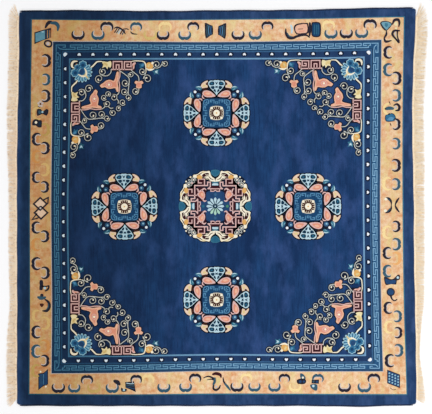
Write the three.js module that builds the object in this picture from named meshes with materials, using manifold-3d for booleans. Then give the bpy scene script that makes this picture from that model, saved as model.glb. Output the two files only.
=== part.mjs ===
import * as THREE from 'three';
import { mergeVertices } from 'three/addons/utils/BufferGeometryUtils.js';
import Module from 'manifold-3d';

// A square pile rug that lies flat, in millimetres, +Z up. The fringed ends face -X and +X,
// the overcast sides face -Y and +Y. The floor is at z = 0.

// Body of the rug
const halfSide = 1350;          // middle to each edge, before the wander below
const pileTop = 12;             // backing and pile together
const cornerRadius = 14;
const cornerSteps = 4;
const cornerRoom = 38;          // the corners' share of an edge, free of its own points
const edgeRows = 25;            // points along each edge
const pieceGap = 0.3;

// The pile's edge is sheared round: how far each ring lies inside the edge, and its height.
const shearedRings = [
  { inset: 0, height: 0 },
  { inset: 0, height: 8.2 },
  { inset: 1.8, height: 10.8 },
  { inset: 6, height: pileTop },
];

// How far each edge stands out (+) or in (-) from its straight line, at places along it.
const edgeWander = [
  { along: -1300, left: 10, right: 13, back: -4, front: 5 },
  { along: -975, left: 10, right: 10, back: -1, front: 6 },
  { along: -650, left: 9, right: 4, back: -5, front: 6 },
  { along: -325, left: 10, right: -3, back: -7, front: 6 },
  { along: 0, left: 10, right: -4, back: -2, front: 6 },
  { along: 325, left: 10, right: -11, back: -1, front: 6 },
  { along: 650, left: 5, right: -15, back: 3, front: 6 },
  { along: 975, left: -3, right: -6, back: 12, front: 11 },
  { along: 1300, left: -4, right: 10, back: 18, front: 2 },
];
const rippleDepth = 1.2;
const rippleLength = 290;
const ripplePhase = { left: 0.4, right: 2.1, back: 3.6, front: 5.2 };

// Overcast cord along each side, its section from the inner face outwards
const cordWidth = 11;
const cordTaper = 26;           // how far each end of the cord rounds off
const cordEndScale = 0.45;
const cordSection = [
  { out: 0, up: 2 },
  { out: 2, up: 0 },
  { out: 9, up: 0 },
  { out: 11, up: 2.2 },
  { out: 11, up: 6 },
  { out: 8.5, up: 8.8 },
  { out: 3, up: 9.4 },
  { out: 0, up: 7.5 },
];

// Woven end web and the locks of fringe that leave it
const webWidth = 12;
const webHeight = 3.6;
const lockCount = 120;
const lockWidth = 14.5;
const lockHeight = 5.4;
const lockRoot = 5;             // how far a lock reaches back into the web
const lockEndRoom = 1;          // bare web past the first and the last lock
const lockDrift = 3;            // how far a lock swings sideways
const lockRagged = 6;           // how much lock lengths differ
const lockRows = [
  { along: 0, width: 0.92, height: 0.8, swing: 0 },
  { along: 0.55, width: 1, height: 1, swing: 0.45 },
  { along: 1, width: 0.45, height: 0.4, swing: 1 },
];
const lockTopShare = 0.55;      // a lock's top face against its bottom face
// Length of the locks beyond the web, at places along each fringed end
const fringeLength = [
  { along: -1300, left: 44, right: 50 },
  { along: -650, left: 43, right: 47 },
  { along: 0, left: 44, right: 50 },
  { along: 650, left: 46, right: 60 },
  { along: 1300, left: 48, right: 58 },
];

const outward = {
  left: new THREE.Vector2(-1, 0),
  right: new THREE.Vector2(1, 0),
  back: new THREE.Vector2(0, 1),
  front: new THREE.Vector2(0, -1),
};

const wasm = await Module();
wasm.setup();

// A smooth reading of one column of a table whose rows are evenly spaced.
function smoothColumn(rows, column) {
  const curve = new THREE.SplineCurve(rows.map((row) => new THREE.Vector2(row.along, row[column])));
  const first = rows[0].along;
  const span = rows[rows.length - 1].along - first;
  return (along) => curve.getPoint(THREE.MathUtils.clamp((along - first) / span, 0, 1)).y;
}

const wander = {};
for (const side of Object.keys(outward)) {
  const drift = smoothColumn(edgeWander, side);
  const ripple = (along) => rippleDepth * Math.sin((2 * Math.PI * along) / rippleLength + ripplePhase[side]);
  wander[side] = (along) => drift(along) + ripple(along);
}

// Distance of an edge of the pile body from the middle lines; the side cords take their width off it.
function edgeReach(side, along) {
  const cord = side === 'back' || side === 'front' ? cordWidth + pieceGap : 0;
  return halfSide + wander[side](along) - cord;
}

function edgePoint(side, along, extra = 0) {
  const reach = edgeReach(side, along) + extra;
  const normal = outward[side];
  return normal.x !== 0 ? new THREE.Vector2(normal.x * reach, along) : new THREE.Vector2(along, normal.y * reach);
}

// The places along an edge that carry a point, between two corners.
const stationSpan = halfSide - cornerRoom;
const stations = Array.from({ length: edgeRows }, (_, i) => stationSpan * ((2 * i) / (edgeRows - 1) - 1));

// Anticlockwise outline of the pile body: four uneven edges with a small arc at each corner.
function bodyOutline() {
  const order = ['front', 'right', 'back', 'left'];
  const points = [];
  order.forEach((side, i) => {
    const next = order[(i + 1) % order.length];
    const forwards = side === 'front' || side === 'right';
    const along = forwards ? stations : [...stations].reverse();
    points.push(...along.map((place) => edgePoint(side, place)));
    const here = outward[side];
    const there = outward[next];
    const endAlong = along[along.length - 1];
    const nextAlong = (here.x + here.y) * Math.abs(endAlong);
    const corner = here.clone().multiplyScalar(edgeReach(side, endAlong))
      .addScaledVector(there, edgeReach(next, nextAlong));
    const middle = corner.clone().addScaledVector(here, -cornerRadius).addScaledVector(there, -cornerRadius);
    for (let step = 0; step <= cornerSteps; step += 1) {
      const turn = (Math.PI / 2) * (step / cornerSteps);
      points.push(middle.clone()
        .addScaledVector(here, cornerRadius * Math.cos(turn))
        .addScaledVector(there, cornerRadius * Math.sin(turn)));
    }
  });
  return points;
}

// The same outline, drawn in by a distance along each point's own normal.
function drawnIn(outline, distance) {
  return outline.map((point, i) => {
    const before = outline[(i + outline.length - 1) % outline.length];
    const after = outline[(i + 1) % outline.length];
    const run = after.clone().sub(before).normalize();
    return point.clone().add(new THREE.Vector2(-run.y, run.x).multiplyScalar(distance));
  });
}

function closedGeometry(positions, faces) {
  const geometry = new THREE.BufferGeometry();
  geometry.setAttribute('position', new THREE.Float32BufferAttribute(positions, 3));
  geometry.setIndex(faces);
  return geometry;
}

// Joins loops of equal length, lowest or first one first, and closes both ends with flat caps.
function skinLoops(loops, capFaces) {
  const size = loops[0].length;
  const positions = loops.flat().flatMap((point) => [point.x, point.y, point.z]);
  const faces = [];
  for (let ring = 0; ring + 1 < loops.length; ring += 1) {
    for (let i = 0; i < size; i += 1) {
      const j = (i + 1) % size;
      const a = ring * size + i;
      const b = ring * size + j;
      faces.push(a, b, b + size, a, b + size, a + size);
    }
  }
  const last = (loops.length - 1) * size;
  for (const [a, b, c] of capFaces) {
    faces.push(a, c, b);
    faces.push(last + a, last + b, last + c);
  }
  return closedGeometry(positions, faces);
}

function pileBody() {
  const outline = bodyOutline();
  const loops = shearedRings.map((ring) => drawnIn(outline, ring.inset)
    .map((point) => new THREE.Vector3(point.x, point.y, ring.height)));
  return skinLoops(loops, THREE.ShapeUtils.triangulateShape(outline, []));
}

// A fan of triangles over a convex loop.
function fanFaces(size) {
  return Array.from({ length: size - 2 }, (_, i) => [0, i + 1, i + 2]);
}

// One side cord. Its inner face follows the pile body's edge at the gap between pieces.
function sideCord(side) {
  const sign = outward[side].y;
  const lengthwise = [-stationSpan - cordTaper, ...stations, stationSpan + cordTaper];
  const loops = lengthwise.map((along) => {
    const scale = Math.abs(along) > stationSpan ? cordEndScale : 1;
    const inner = edgePoint(side, THREE.MathUtils.clamp(along, -stationSpan, stationSpan), pieceGap).y;
    return cordSection.map((row) => new THREE.Vector3(along, inner + sign * row.out * scale, row.up * scale));
  });
  const ordered = sign > 0 ? loops : [...loops].reverse();
  return skinLoops(ordered, fanFaces(cordSection.length));
}

function asSolid(geometry) {
  geometry.deleteAttribute('normal');
  geometry.deleteAttribute('uv');
  const merged = mergeVertices(geometry, 1e-4);
  return new wasm.Manifold(new wasm.Mesh({
    numProp: 3,
    vertProperties: new Float32Array(merged.attributes.position.array),
    triVerts: new Uint32Array(merged.index.array),
  }));
}

function fromSolid(solid) {
  const mesh = solid.getMesh();
  return closedGeometry(Array.from(mesh.vertProperties), Array.from(mesh.triVerts));
}

// The flat woven strip next to the pile, whose inner face follows the body's edge.
function endWeb(side) {
  const sign = outward[side].x;
  const loops = stations.map((along) => {
    const inner = edgePoint(side, along, pieceGap).x;
    const outer = inner + sign * webWidth;
    return [
      new THREE.Vector3(inner, along, 0),
      new THREE.Vector3(outer, along, 0),
      new THREE.Vector3(outer, along, webHeight),
      new THREE.Vector3(inner, along, webHeight),
    ];
  });
  const ordered = sign > 0 ? [...loops].reverse() : loops;
  return skinLoops(ordered, fanFaces(4));
}

// Steady unevenness between -1 and 1, different for each lock and each use.
function uneven(index, use) {
  return 0.6 * Math.sin(index * 2.399 + use * 1.7) + 0.4 * Math.sin(index * 0.731 + use * 4.1);
}

// One lock of fringe: a four-sided taper that lies level on the floor.
function fringeLock(side, index, length) {
  const sign = outward[side].x;
  const span = stationSpan - lockWidth / 2 - lockEndRoom;
  const across = -span + (2 * span * index) / (lockCount - 1);
  const root = edgePoint(side, across, pieceGap).x + sign * (webWidth - lockRoot);
  const reach = lockRoot + length(across) + lockRagged * uneven(index, 1);
  const swing = lockDrift * uneven(index, 2);
  const loops = lockRows.map((row) => {
    const x = root + sign * reach * row.along;
    const y = across + swing * row.swing;
    const half = (lockWidth * row.width) / 2;
    const top = lockHeight * row.height;
    return [
      new THREE.Vector3(x, y - half, 0),
      new THREE.Vector3(x, y + half, 0),
      new THREE.Vector3(x, y + half * lockTopShare, top),
      new THREE.Vector3(x, y - half * lockTopShare, top),
    ];
  });
  const ordered = sign > 0 ? loops : [...loops].reverse();
  return skinLoops(ordered, fanFaces(4));
}

function fringe(side) {
  const length = smoothColumn(fringeLength, side);
  let joined = asSolid(endWeb(side));
  for (let index = 0; index < lockCount; index += 1) {
    joined = joined.add(asSolid(fringeLock(side, index, length)));
  }
  return fromSolid(joined);
}

function finish(colour) {
  return new THREE.MeshStandardMaterial({ color: colour, roughness: 0.95, metalness: 0 });
}
const pileFinish = finish(0x1c3760);
const cordFinish = finish(0x2a2b4f);
const fringeFinish = finish(0xe9d9bd);

const rug = new THREE.Group();
function addPiece(name, geometry, material) {
  geometry.computeVertexNormals();
  const mesh = new THREE.Mesh(geometry, material);
  mesh.name = name;
  rug.add(mesh);
}

addPiece('pile_body', pileBody(), pileFinish);
addPiece('side_cord_back', sideCord('back'), cordFinish);
addPiece('side_cord_front', sideCord('front'), cordFinish);
addPiece('fringe_left', fringe('left'), fringeFinish);
addPiece('fringe_right', fringe('right'), fringeFinish);

// The origin is under the middle of the rug's box, on the floor.
const box = new THREE.Box3().setFromObject(rug);
const middle = box.getCenter(new THREE.Vector3());
rug.position.set(-middle.x, -middle.y, -box.min.z);
rug.updateMatrixWorld(true);

export default rug;
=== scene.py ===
from math import atan2, ceil, cos, hypot, pi, sin

import bmesh
import bpy
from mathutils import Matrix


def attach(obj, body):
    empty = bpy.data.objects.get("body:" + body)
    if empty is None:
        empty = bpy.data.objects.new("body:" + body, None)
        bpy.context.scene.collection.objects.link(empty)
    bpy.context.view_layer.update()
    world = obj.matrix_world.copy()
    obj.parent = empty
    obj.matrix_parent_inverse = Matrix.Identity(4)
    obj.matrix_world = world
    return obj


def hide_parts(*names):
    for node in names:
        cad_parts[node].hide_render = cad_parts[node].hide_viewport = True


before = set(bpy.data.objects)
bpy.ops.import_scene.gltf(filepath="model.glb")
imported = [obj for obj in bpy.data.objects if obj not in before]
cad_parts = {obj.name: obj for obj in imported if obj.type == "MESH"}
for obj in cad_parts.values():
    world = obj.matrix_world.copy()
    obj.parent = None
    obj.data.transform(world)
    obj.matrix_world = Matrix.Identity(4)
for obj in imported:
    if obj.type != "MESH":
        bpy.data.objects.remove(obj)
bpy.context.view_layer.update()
print("rug: frame loaded")

# The rug lies flat, +Z up, its fringed warp ends at -X and +X, its corded sides at -Y and +Y.
rug = {
    "side": 2.70,                     # woven square, fringe left out
    "middle": (-0.0054, -0.0033),     # where the middle of the weave lies in the frame
    "square": 0.00685,                # one square of the weaver's chart, two knots
    "pileTop": 0.0108,                # outer border; the field and bands stand a little over it
    "cornerRadius": 0.014,
    "cordSpan": 1.312,                # half length of a side cord before its rounded end
    "cordWidth": 0.0113,              # side cord and the gap beside it
    "ripple": 0.0012,
    "rippleLength": 0.29,
}
half = rug["side"] / 2

# How far each line of the weave stands out from its true square, in mm, at even places along each side
wander = {
    "left": {
        "edge": (10, 10, 9, 10, 10, 10, 5, -3, -4),
        "goldOuter": (-5, -9, -8, -14, -22),
        "goldInner": (1, -5, 1, -5, -13),
        "fieldLine": (-5, -5, 3, -10, -12),
    },
    "right": {
        "edge": (13, 10, 4, -3, -4, -11, -15, -6, 10),
        "goldOuter": (16, -3, -11, -11, -3),
        "goldInner": (13, -4, -11, -5, 0),
        "fieldLine": (4, -1, -9, -9, -5),
    },
    "back": {
        "edge": (-4, -1, -5, -7, -2, -1, 3, 12, 18),
        "goldOuter": (1, -5, 0, 6, 18),
        "goldInner": (6, 5, 2, 10, 20),
        "fieldLine": (-3, 2, 3, 5, 18),
    },
    "front": {
        "edge": (5, 6, 6, 6, 6, 6, 6, 11, 2),
        "goldOuter": (-11, -6, -12, -10, -8),
        "goldInner": (6, 1, -12, -9, -10),
        "fieldLine": (3, 1, -8, -3, -6),
    },
}
ripplePhase = {"left": 0.4, "right": 2.1, "back": 3.6, "front": 5.2}
trueLine = {"edge": 1.350, "goldOuter": 1.280, "goldInner": 1.129, "fieldLine": 1.012}
tableReach = 1.3


def smoothRead(values, along):
    # Catmull-Rom reading of a row of evenly spaced values
    t = min(max((along + tableReach) / (2 * tableReach), 0), 1) * (len(values) - 1)
    i = min(int(t), len(values) - 2)
    f = t - i
    a, b, c, d = (values[min(max(k, 0), len(values) - 1)] for k in (i - 1, i, i + 1, i + 2))
    slopeB, slopeC = (c - a) / 2, (d - b) / 2
    return (
        b + slopeB * f
        + (3 * (c - b) - 2 * slopeB - slopeC) * f * f
        + (2 * (b - c) + slopeB + slopeC) * f ** 3
    )


def edgeOut(side, along):
    ripple = rug["ripple"] * sin(2 * pi * along / rug["rippleLength"] + ripplePhase[side])
    return smoothRead(wander[side]["edge"], along) / 1000 + ripple


# The wander is read once every centimetre, because every point of the pattern asks for it.
def sampled(side, line):
    places = [(i - 140) / 100 for i in range(281)]
    if line == "edge":
        return [edgeOut(side, place) for place in places]
    return [smoothRead(wander[side][line], place) / 1000 for place in places]


wanderAt = {side: {line: sampled(side, line) for line in trueLine} for side in wander}
lineOrder = ("edge", "goldOuter", "goldInner", "fieldLine")


def wanderBetween(low, high, across, along):
    # Sideways shift of a point, from the lines on both sides of it
    place = min(max(along, -1.39), 1.39) * 100 + 140
    i, f = int(place), place - int(place)
    stops = [(-trueLine[line], -1, low, line) for line in lineOrder]
    stops += [(trueLine[line], 1, high, line) for line in reversed(lineOrder)]
    across = min(max(across, -half), half)
    for (a, signA, sideA, lineA), (b, signB, sideB, lineB) in zip(stops, stops[1:]):
        if across <= b:
            rowA, rowB = wanderAt[sideA][lineA], wanderAt[sideB][lineB]
            shiftA = signA * (rowA[i] * (1 - f) + rowA[i + 1] * f)
            shiftB = signB * (rowB[i] * (1 - f) + rowB[i + 1] * f)
            share = (across - a) / (b - a)
            return shiftA * (1 - share) + shiftB * share
    return 0.0


def woven(point):
    # From the true square in metres to where the uneven weave puts it in the frame
    x, y = point
    return (
        x + wanderBetween("left", "right", x, y) + rug["middle"][0],
        y + wanderBetween("front", "back", y, x) + rug["middle"][1],
    )


# Wool finishes

def node(tree, kind, **sockets):
    made = tree.nodes.new(kind)
    for name, value in sockets.items():
        setattr(made, name, value)
    return made


def mixColours(tree, factor, first, second, blend="MIX"):
    mix = node(tree, "ShaderNodeMix", data_type="RGBA", blend_type=blend)
    for socket, value in ((mix.inputs[0], factor), (mix.inputs[6], first), (mix.inputs[7], second)):
        if hasattr(value, "is_linked"):
            tree.links.new(value, socket)
        elif isinstance(value, tuple):
            socket.default_value = (*value, 1)
        else:
            socket.default_value = value
    return mix.outputs[2]


def spread(tree, value, low, high, toLow=0.0, toHigh=1.0):
    span = node(tree, "ShaderNodeMapRange")
    tree.links.new(value, span.inputs[0])
    for i, number in enumerate((low, high, toLow, toHigh)):
        span.inputs[i + 1].default_value = number
    return span.outputs[0]


def linear(colour):
    # Dyed wool colours are given as they look, 0 to 255
    return tuple(
        c / 255 / 12.92 if c / 255 <= 0.04045 else ((c / 255 + 0.055) / 1.055) ** 2.4 for c in colour
    )


wool = {
    "knot": 0.0034,          # 90 knots to the foot
    "mottle": 0.030,
    "abrash": 0.16,          # width of a dye lot's streak
    "patch": 0.055,
    "warpLine": 0.010,       # fine lines down the warp where the rows of knots part
    "sheen": 0.05,
    # Painted shade: the colour darkens towards the -X end as if the light fell off there: place along X, cool dyes,
    # warm dyes
    "paintedShade": (
        (0.0, 0.74, 0.70), (0.004, 0.60, 0.62), (0.010, 0.42, 0.50), (0.14, 0.42, 0.47), (0.32, 0.68, 0.86),
        (0.42, 0.92, 1.0), (0.60, 1.0, 1.0), (0.85, 1.03, 1.0), (1.0, 1.06, 0.88),
    ),
    "motifShadeShare": 0.42,        # share of that painted shade in the small motifs
    "roughness": 0.95,
}


def woolPile(name, colour, shade, mottle=0.5, streaks=0.35, scale=1.0, third=None, lean=1.0):
    material = bpy.data.materials.new(name)
    material.use_nodes = True
    tree = material.node_tree
    bsdf = tree.nodes["Principled BSDF"]
    place = node(tree, "ShaderNodeTexCoord").outputs["Object"]
    colour, shade = linear(colour), linear(shade)

    cloud = node(tree, "ShaderNodeTexNoise")
    cloud.inputs["Scale"].default_value = 1 / (wool["mottle"] * scale)
    cloud.inputs["Detail"].default_value = 4
    tree.links.new(place, cloud.inputs["Vector"])

    stretch = node(tree, "ShaderNodeMapping")
    stretch.inputs["Scale"].default_value = (1.0, 0.22, 1.0)
    tree.links.new(place, stretch.inputs["Vector"])
    streak = node(tree, "ShaderNodeTexNoise")
    streak.inputs["Scale"].default_value = 1 / wool["abrash"]
    streak.inputs["Detail"].default_value = 5
    streak.inputs["Roughness"].default_value = 0.6
    tree.links.new(stretch.outputs[0], streak.inputs["Vector"])

    mixed = mixColours(tree, spread(tree, cloud.outputs[0], 0.35, 0.72, 0, mottle), colour, shade)
    mixed = mixColours(tree, spread(tree, streak.outputs[0], 0.42, 0.68, 0, streaks), mixed, shade)
    lines = node(tree, "ShaderNodeTexNoise")
    lines.inputs["Scale"].default_value = 1 / wool["warpLine"]
    lines.inputs["Detail"].default_value = 2
    drawn = node(tree, "ShaderNodeMapping")
    drawn.inputs["Scale"].default_value = (1.0, 0.08, 1.0)
    tree.links.new(place, drawn.inputs["Vector"])
    tree.links.new(drawn.outputs[0], lines.inputs["Vector"])
    mixed = mixColours(tree, spread(tree, lines.outputs[0], 0.45, 0.70, 0, 0.7 * streaks), mixed, shade)
    if third:
        patches = node(tree, "ShaderNodeTexNoise")
        patches.inputs["Scale"].default_value = 1 / (wool["patch"] * scale)
        patches.inputs["Detail"].default_value = 5
        patches.inputs["Roughness"].default_value = 0.6
        offset = node(tree, "ShaderNodeMapping")
        offset.inputs["Location"].default_value = (4.1, 1.7, 0.3)
        offset.inputs["Scale"].default_value = (1.0, 0.45, 1.0)
        tree.links.new(place, offset.inputs["Vector"])
        tree.links.new(offset.outputs[0], patches.inputs["Vector"])
        mixed = mixColours(tree, spread(tree, patches.outputs[0], 0.47, 0.68, 0, 0.8), mixed, linear(third))

    tuft = node(tree, "ShaderNodeTexVoronoi")
    tuft.inputs["Scale"].default_value = 1 / wool["knot"]
    tree.links.new(place, tuft.inputs["Vector"])
    fibre = node(tree, "ShaderNodeTexNoise")
    fibre.inputs["Scale"].default_value = 900
    fibre.inputs["Detail"].default_value = 2
    tree.links.new(place, fibre.inputs["Vector"])
    # Painted shade: the colour darkens towards the rim of each knot's tuft, where shade falls between the tufts
    shadeBetweenTufts = spread(tree, tuft.outputs["Distance"], 0.25, 0.75, 1.0, 0.80)
    mixed = mixColours(tree, 1.0, mixed, shadeBetweenTufts, "MULTIPLY")
    # Painted shade along X: the ramp darkens the colour towards the -X end, in a tint of its own for warm and for cool
    # dyes; lean is the share of it that this dye takes
    axes = node(tree, "ShaderNodeSeparateXYZ")
    tree.links.new(place, axes.inputs[0])
    paintedShade = node(tree, "ShaderNodeValToRGB")
    warm = colour[0] > colour[2]
    for i, (where, coolShare, warmShare) in enumerate(wool["paintedShade"]):
        ends = {0: paintedShade.color_ramp.elements[0], len(wool["paintedShade"]) - 1: paintedShade.color_ramp.elements[-1]}
        stop = ends[i] if i in ends else paintedShade.color_ramp.elements.new(where)
        stop.position = where
        shadeLevel = warmShare if warm else coolShare
        red, green, blue = (0.66, 0.88, 1.3) if warm else (1.6, 1.05, 1.0)
        shadeTint = (shadeLevel ** red, shadeLevel ** green, shadeLevel ** blue)
        stop.color = (*(1 + (share - 1) * lean for share in shadeTint), 1)
    tree.links.new(spread(tree, axes.outputs["X"], -half, half), paintedShade.inputs[0])
    mixed = mixColours(tree, 1.0, mixed, paintedShade.outputs[0], "MULTIPLY")
    tree.links.new(mixed, bsdf.inputs["Base Color"])

    height = node(tree, "ShaderNodeMath", operation="MULTIPLY_ADD")
    tree.links.new(fibre.outputs[0], height.inputs[0])
    height.inputs[1].default_value = 0.5
    tree.links.new(spread(tree, tuft.outputs["Distance"], 0.0, 0.8, 1.0, 0.0), height.inputs[2])
    bump = node(tree, "ShaderNodeBump")
    bump.inputs["Strength"].default_value = 0.5
    bump.inputs["Distance"].default_value = 0.0012
    tree.links.new(height.outputs[0], bump.inputs["Height"])
    tree.links.new(bump.outputs[0], bsdf.inputs["Normal"])
    bsdf.inputs["Roughness"].default_value = wool["roughness"]
    bsdf.inputs["Specular IOR Level"].default_value = 0.15
    bsdf.inputs["Sheen Weight"].default_value = wool["sheen"]
    bsdf.inputs["Sheen Roughness"].default_value = 0.5
    return material


# Pile in raised patches and strokes, in chart squares from the middle of a motif

relief = {
    "foot": 0.0100,          # every patch starts inside the body's pile
    "ground": 0.0111,        # top of the field and the bands, level 0
    "step": 0.00035,         # each level over the one before
    "shoulder": 0.0006,
    "bevel": 0.0011,
}
charted = {}                 # (part of the pattern, dye): its points and faces
drawing = {"part": "field"}


def heightOf(level):
    return relief["ground"] + relief["step"] * level


def addLoops(dye, loops, closed=False):
    # Skins equal loops of 3D points into one closed body, capped at both ends unless it closes on itself
    points, faces = charted.setdefault((drawing["part"], dye), ([], []))
    start, size = len(points), len(loops[0])
    for loop in loops:
        points.extend(loop)
    rings = len(loops)
    for r in range(rings if closed else rings - 1):
        a, b = start + r * size, start + (r + 1) % rings * size
        for i in range(size):
            j = (i + 1) % size
            faces.append((a + i, a + j, b + j, b + i))
    if not closed:
        faces.append(tuple(range(start + size - 1, start - 1, -1)))
        last = start + (rings - 1) * size
        faces.append(tuple(range(last, last + size)))


def smoothPath(points, steps, closed=False):
    if steps < 2 or len(points) < 3:
        return list(points)
    count = len(points)
    pick = (lambda k: points[k % count]) if closed else (lambda k: points[min(max(k, 0), count - 1)])
    result = []
    for i in range(count if closed else count - 1):
        a, b, c, d = pick(i - 1), pick(i), pick(i + 1), pick(i + 2)
        for k in range(steps):
            t = k / steps
            result.append(tuple(
                0.5 * (2 * q + (r - p) * t + (2 * p - 5 * q + 4 * r - s) * t * t + (3 * q - p - 3 * r + s) * t ** 3)
                for p, q, r, s in zip(a, b, c, d)
            ))
    if not closed:
        result.append(tuple(points[-1]))
    return result


def turnedNormals(points, closed=False):
    # Mitred normal at each point of a path
    count = len(points)
    normals = []
    for i, here in enumerate(points):
        before = points[i - 1] if closed or i else None
        after = points[(i + 1) % count] if closed or i + 1 < count else None
        sides = []
        for a, b in ((before, here), (here, after)):
            if a is None or b is None:
                continue
            run = hypot(b[0] - a[0], b[1] - a[1]) or 1e-9
            sides.append(((a[1] - b[1]) / run, (b[0] - a[0]) / run))
        nx = sum(side[0] for side in sides)
        ny = sum(side[1] for side in sides)
        size = hypot(nx, ny) or 1e-9
        nx, ny = nx / size, ny / size
        reach = max(nx * sides[0][0] + ny * sides[0][1], 0.5)
        normals.append((nx / reach, ny / reach))
    return normals


def strokeLoops(points, widths, top, closed=False):
    # Cross sections of a raised stroke, foot to top to foot
    bevel = relief["bevel"]
    loops = []
    for point, (nx, ny), w in zip(points, turnedNormals(points, closed), widths):
        inner = w - min(bevel, 0.4 * w)
        row = (
            (-w, relief["foot"]), (-w, top - relief["shoulder"]), (-inner, top),
            (inner, top), (w, top - relief["shoulder"]), (w, relief["foot"]),
        )
        loops.append([(point[0] - nx * across, point[1] - ny * across, z) for across, z in row])
    return loops


def areaOf(points):
    return 0.5 * sum(a[0] * b[1] - b[0] * a[1] for a, b in zip(points, points[1:] + points[:1]))


def patchLoops(points, top):
    # Rings of a raised patch: foot, shoulder and a drawn-in top
    if areaOf(points) < 0:
        points = points[::-1]
    bevel = min(relief["bevel"], 0.12 * abs(areaOf(points)) ** 0.5)
    drawn = [(x + nx * bevel, y + ny * bevel) for (x, y), (nx, ny) in zip(points, turnedNormals(points, True))]
    return [
        [(x, y, relief["foot"]) for x, y in points],
        [(x, y, top - relief["shoulder"]) for x, y in points],
        [(x, y, top) for x, y in drawn],
    ]


def motifAt(x, y, turn=0.0, flip=1, size=1.0, drifts=True):
    # Places chart squares of a motif on the rug; flip mirrors it along its own first axis
    c, s = cos(turn), sin(turn)

    def place(point):
        u, v = point[0] * size, point[1] * size * flip
        spot = ((x + c * u - s * v) * rug["square"], (y + s * u + c * v) * rug["square"])
        return woven(spot) if drifts else (spot[0] + rug["middle"][0], spot[1] + rug["middle"][1])

    return place


def inside(place, x=0.0, y=0.0, turn=0.0, flip=1, size=1.0):
    # A smaller motif in another one's squares
    c, s = cos(turn), sin(turn)

    def inner(point):
        u, v = point[0] * size, point[1] * size * flip
        return place((x + c * u - s * v, y + s * u + c * v))

    return inner


# Painted shade: a near-black rim laid under a motif stands in for the shadow in the carved groove round it
grooveShade = {"width": 1.1, "level": 1}


def stroke(dye, place, points, width=1.15, level=2, steps=4, closed=False, ends=True, grooveShadeOn=None):
    widths = list(width) if isinstance(width, (tuple, list)) else [width] * len(points)
    rows = smoothPath([(*p, w) for p, w in zip(points, widths)], steps, closed)
    path = [place(row[:2]) for row in rows]
    halves = [row[2] / 2 * rug["square"] for row in rows]
    jobs = [(dye, 0.0, level)]
    if grooveShadeOn:
        jobs.append((grooveShadeOn, grooveShade["width"] * rug["square"], grooveShade["level"]))
    for name, extra, height in jobs:
        line, wide = list(path), [w + extra for w in halves]
        if ends and not closed:
            line, wide = roundedEnds(line, wide)
        addLoops(name, strokeLoops(line, wide, heightOf(height), closed), closed)


def roundedEnds(line, wide):
    (ax, ay), (bx, by) = line[0], line[1]
    (cx, cy), (dx, dy) = line[-1], line[-2]
    first, last = hypot(ax - bx, ay - by) or 1e-9, hypot(cx - dx, cy - dy) or 1e-9
    start = (ax + (ax - bx) / first * wide[0] * 0.8, ay + (ay - by) / first * wide[0] * 0.8)
    stop = (cx + (cx - dx) / last * wide[-1] * 0.8, cy + (cy - dy) / last * wide[-1] * 0.8)
    return [start, *line, stop], [wide[0] * 0.45, *wide, wide[-1] * 0.45]


def grown(points, distance):
    if areaOf(points) < 0:
        points = points[::-1]
    return [
        (x - nx * distance, y - ny * distance) for (x, y), (nx, ny) in zip(points, turnedNormals(points, True))
    ]


def patch(dye, place, points, level=2, steps=3, grooveShadeOn=None):
    outline = smoothPath(list(points), steps, True)
    spots = [place(point) for point in outline]
    addLoops(dye, patchLoops(spots, heightOf(level)))
    if grooveShadeOn:
        addLoops(grooveShadeOn, patchLoops(grown(spots, grooveShade["width"] * rug["square"]), heightOf(grooveShade["level"])))


def disc(dye, place, centre, radius, level=2, sides=12, grooveShadeOn=None, squash=1.0):
    ring = [
        (centre[0] + radius * cos(2 * pi * i / sides), centre[1] + radius * squash * sin(2 * pi * i / sides))
        for i in range(sides)
    ]
    patch(dye, place, ring, level, 1, grooveShadeOn)


def mirrored(points):
    # Completes a shape that is alike on both sides of its own upright axis, given its right half
    left = [(-x, y) for x, y in reversed(points) if x > 1e-6]
    return list(points) + left


def solidFrom(name, points, faces, materials):
    mesh = bpy.data.meshes.new(name)
    mesh.from_pydata(points, [], faces)
    for material in materials:
        mesh.materials.append(material)
    shell = bmesh.new()
    shell.from_mesh(mesh)
    bmesh.ops.recalc_face_normals(shell, faces=shell.faces)
    shell.to_mesh(mesh)
    shell.free()
    made = bpy.data.objects.new(name, mesh)
    bpy.context.scene.collection.objects.link(made)
    return made


# Dyed wools: colour, the shade it drifts to, how much it mottles, how much it streaks, patches of a third colour

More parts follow.
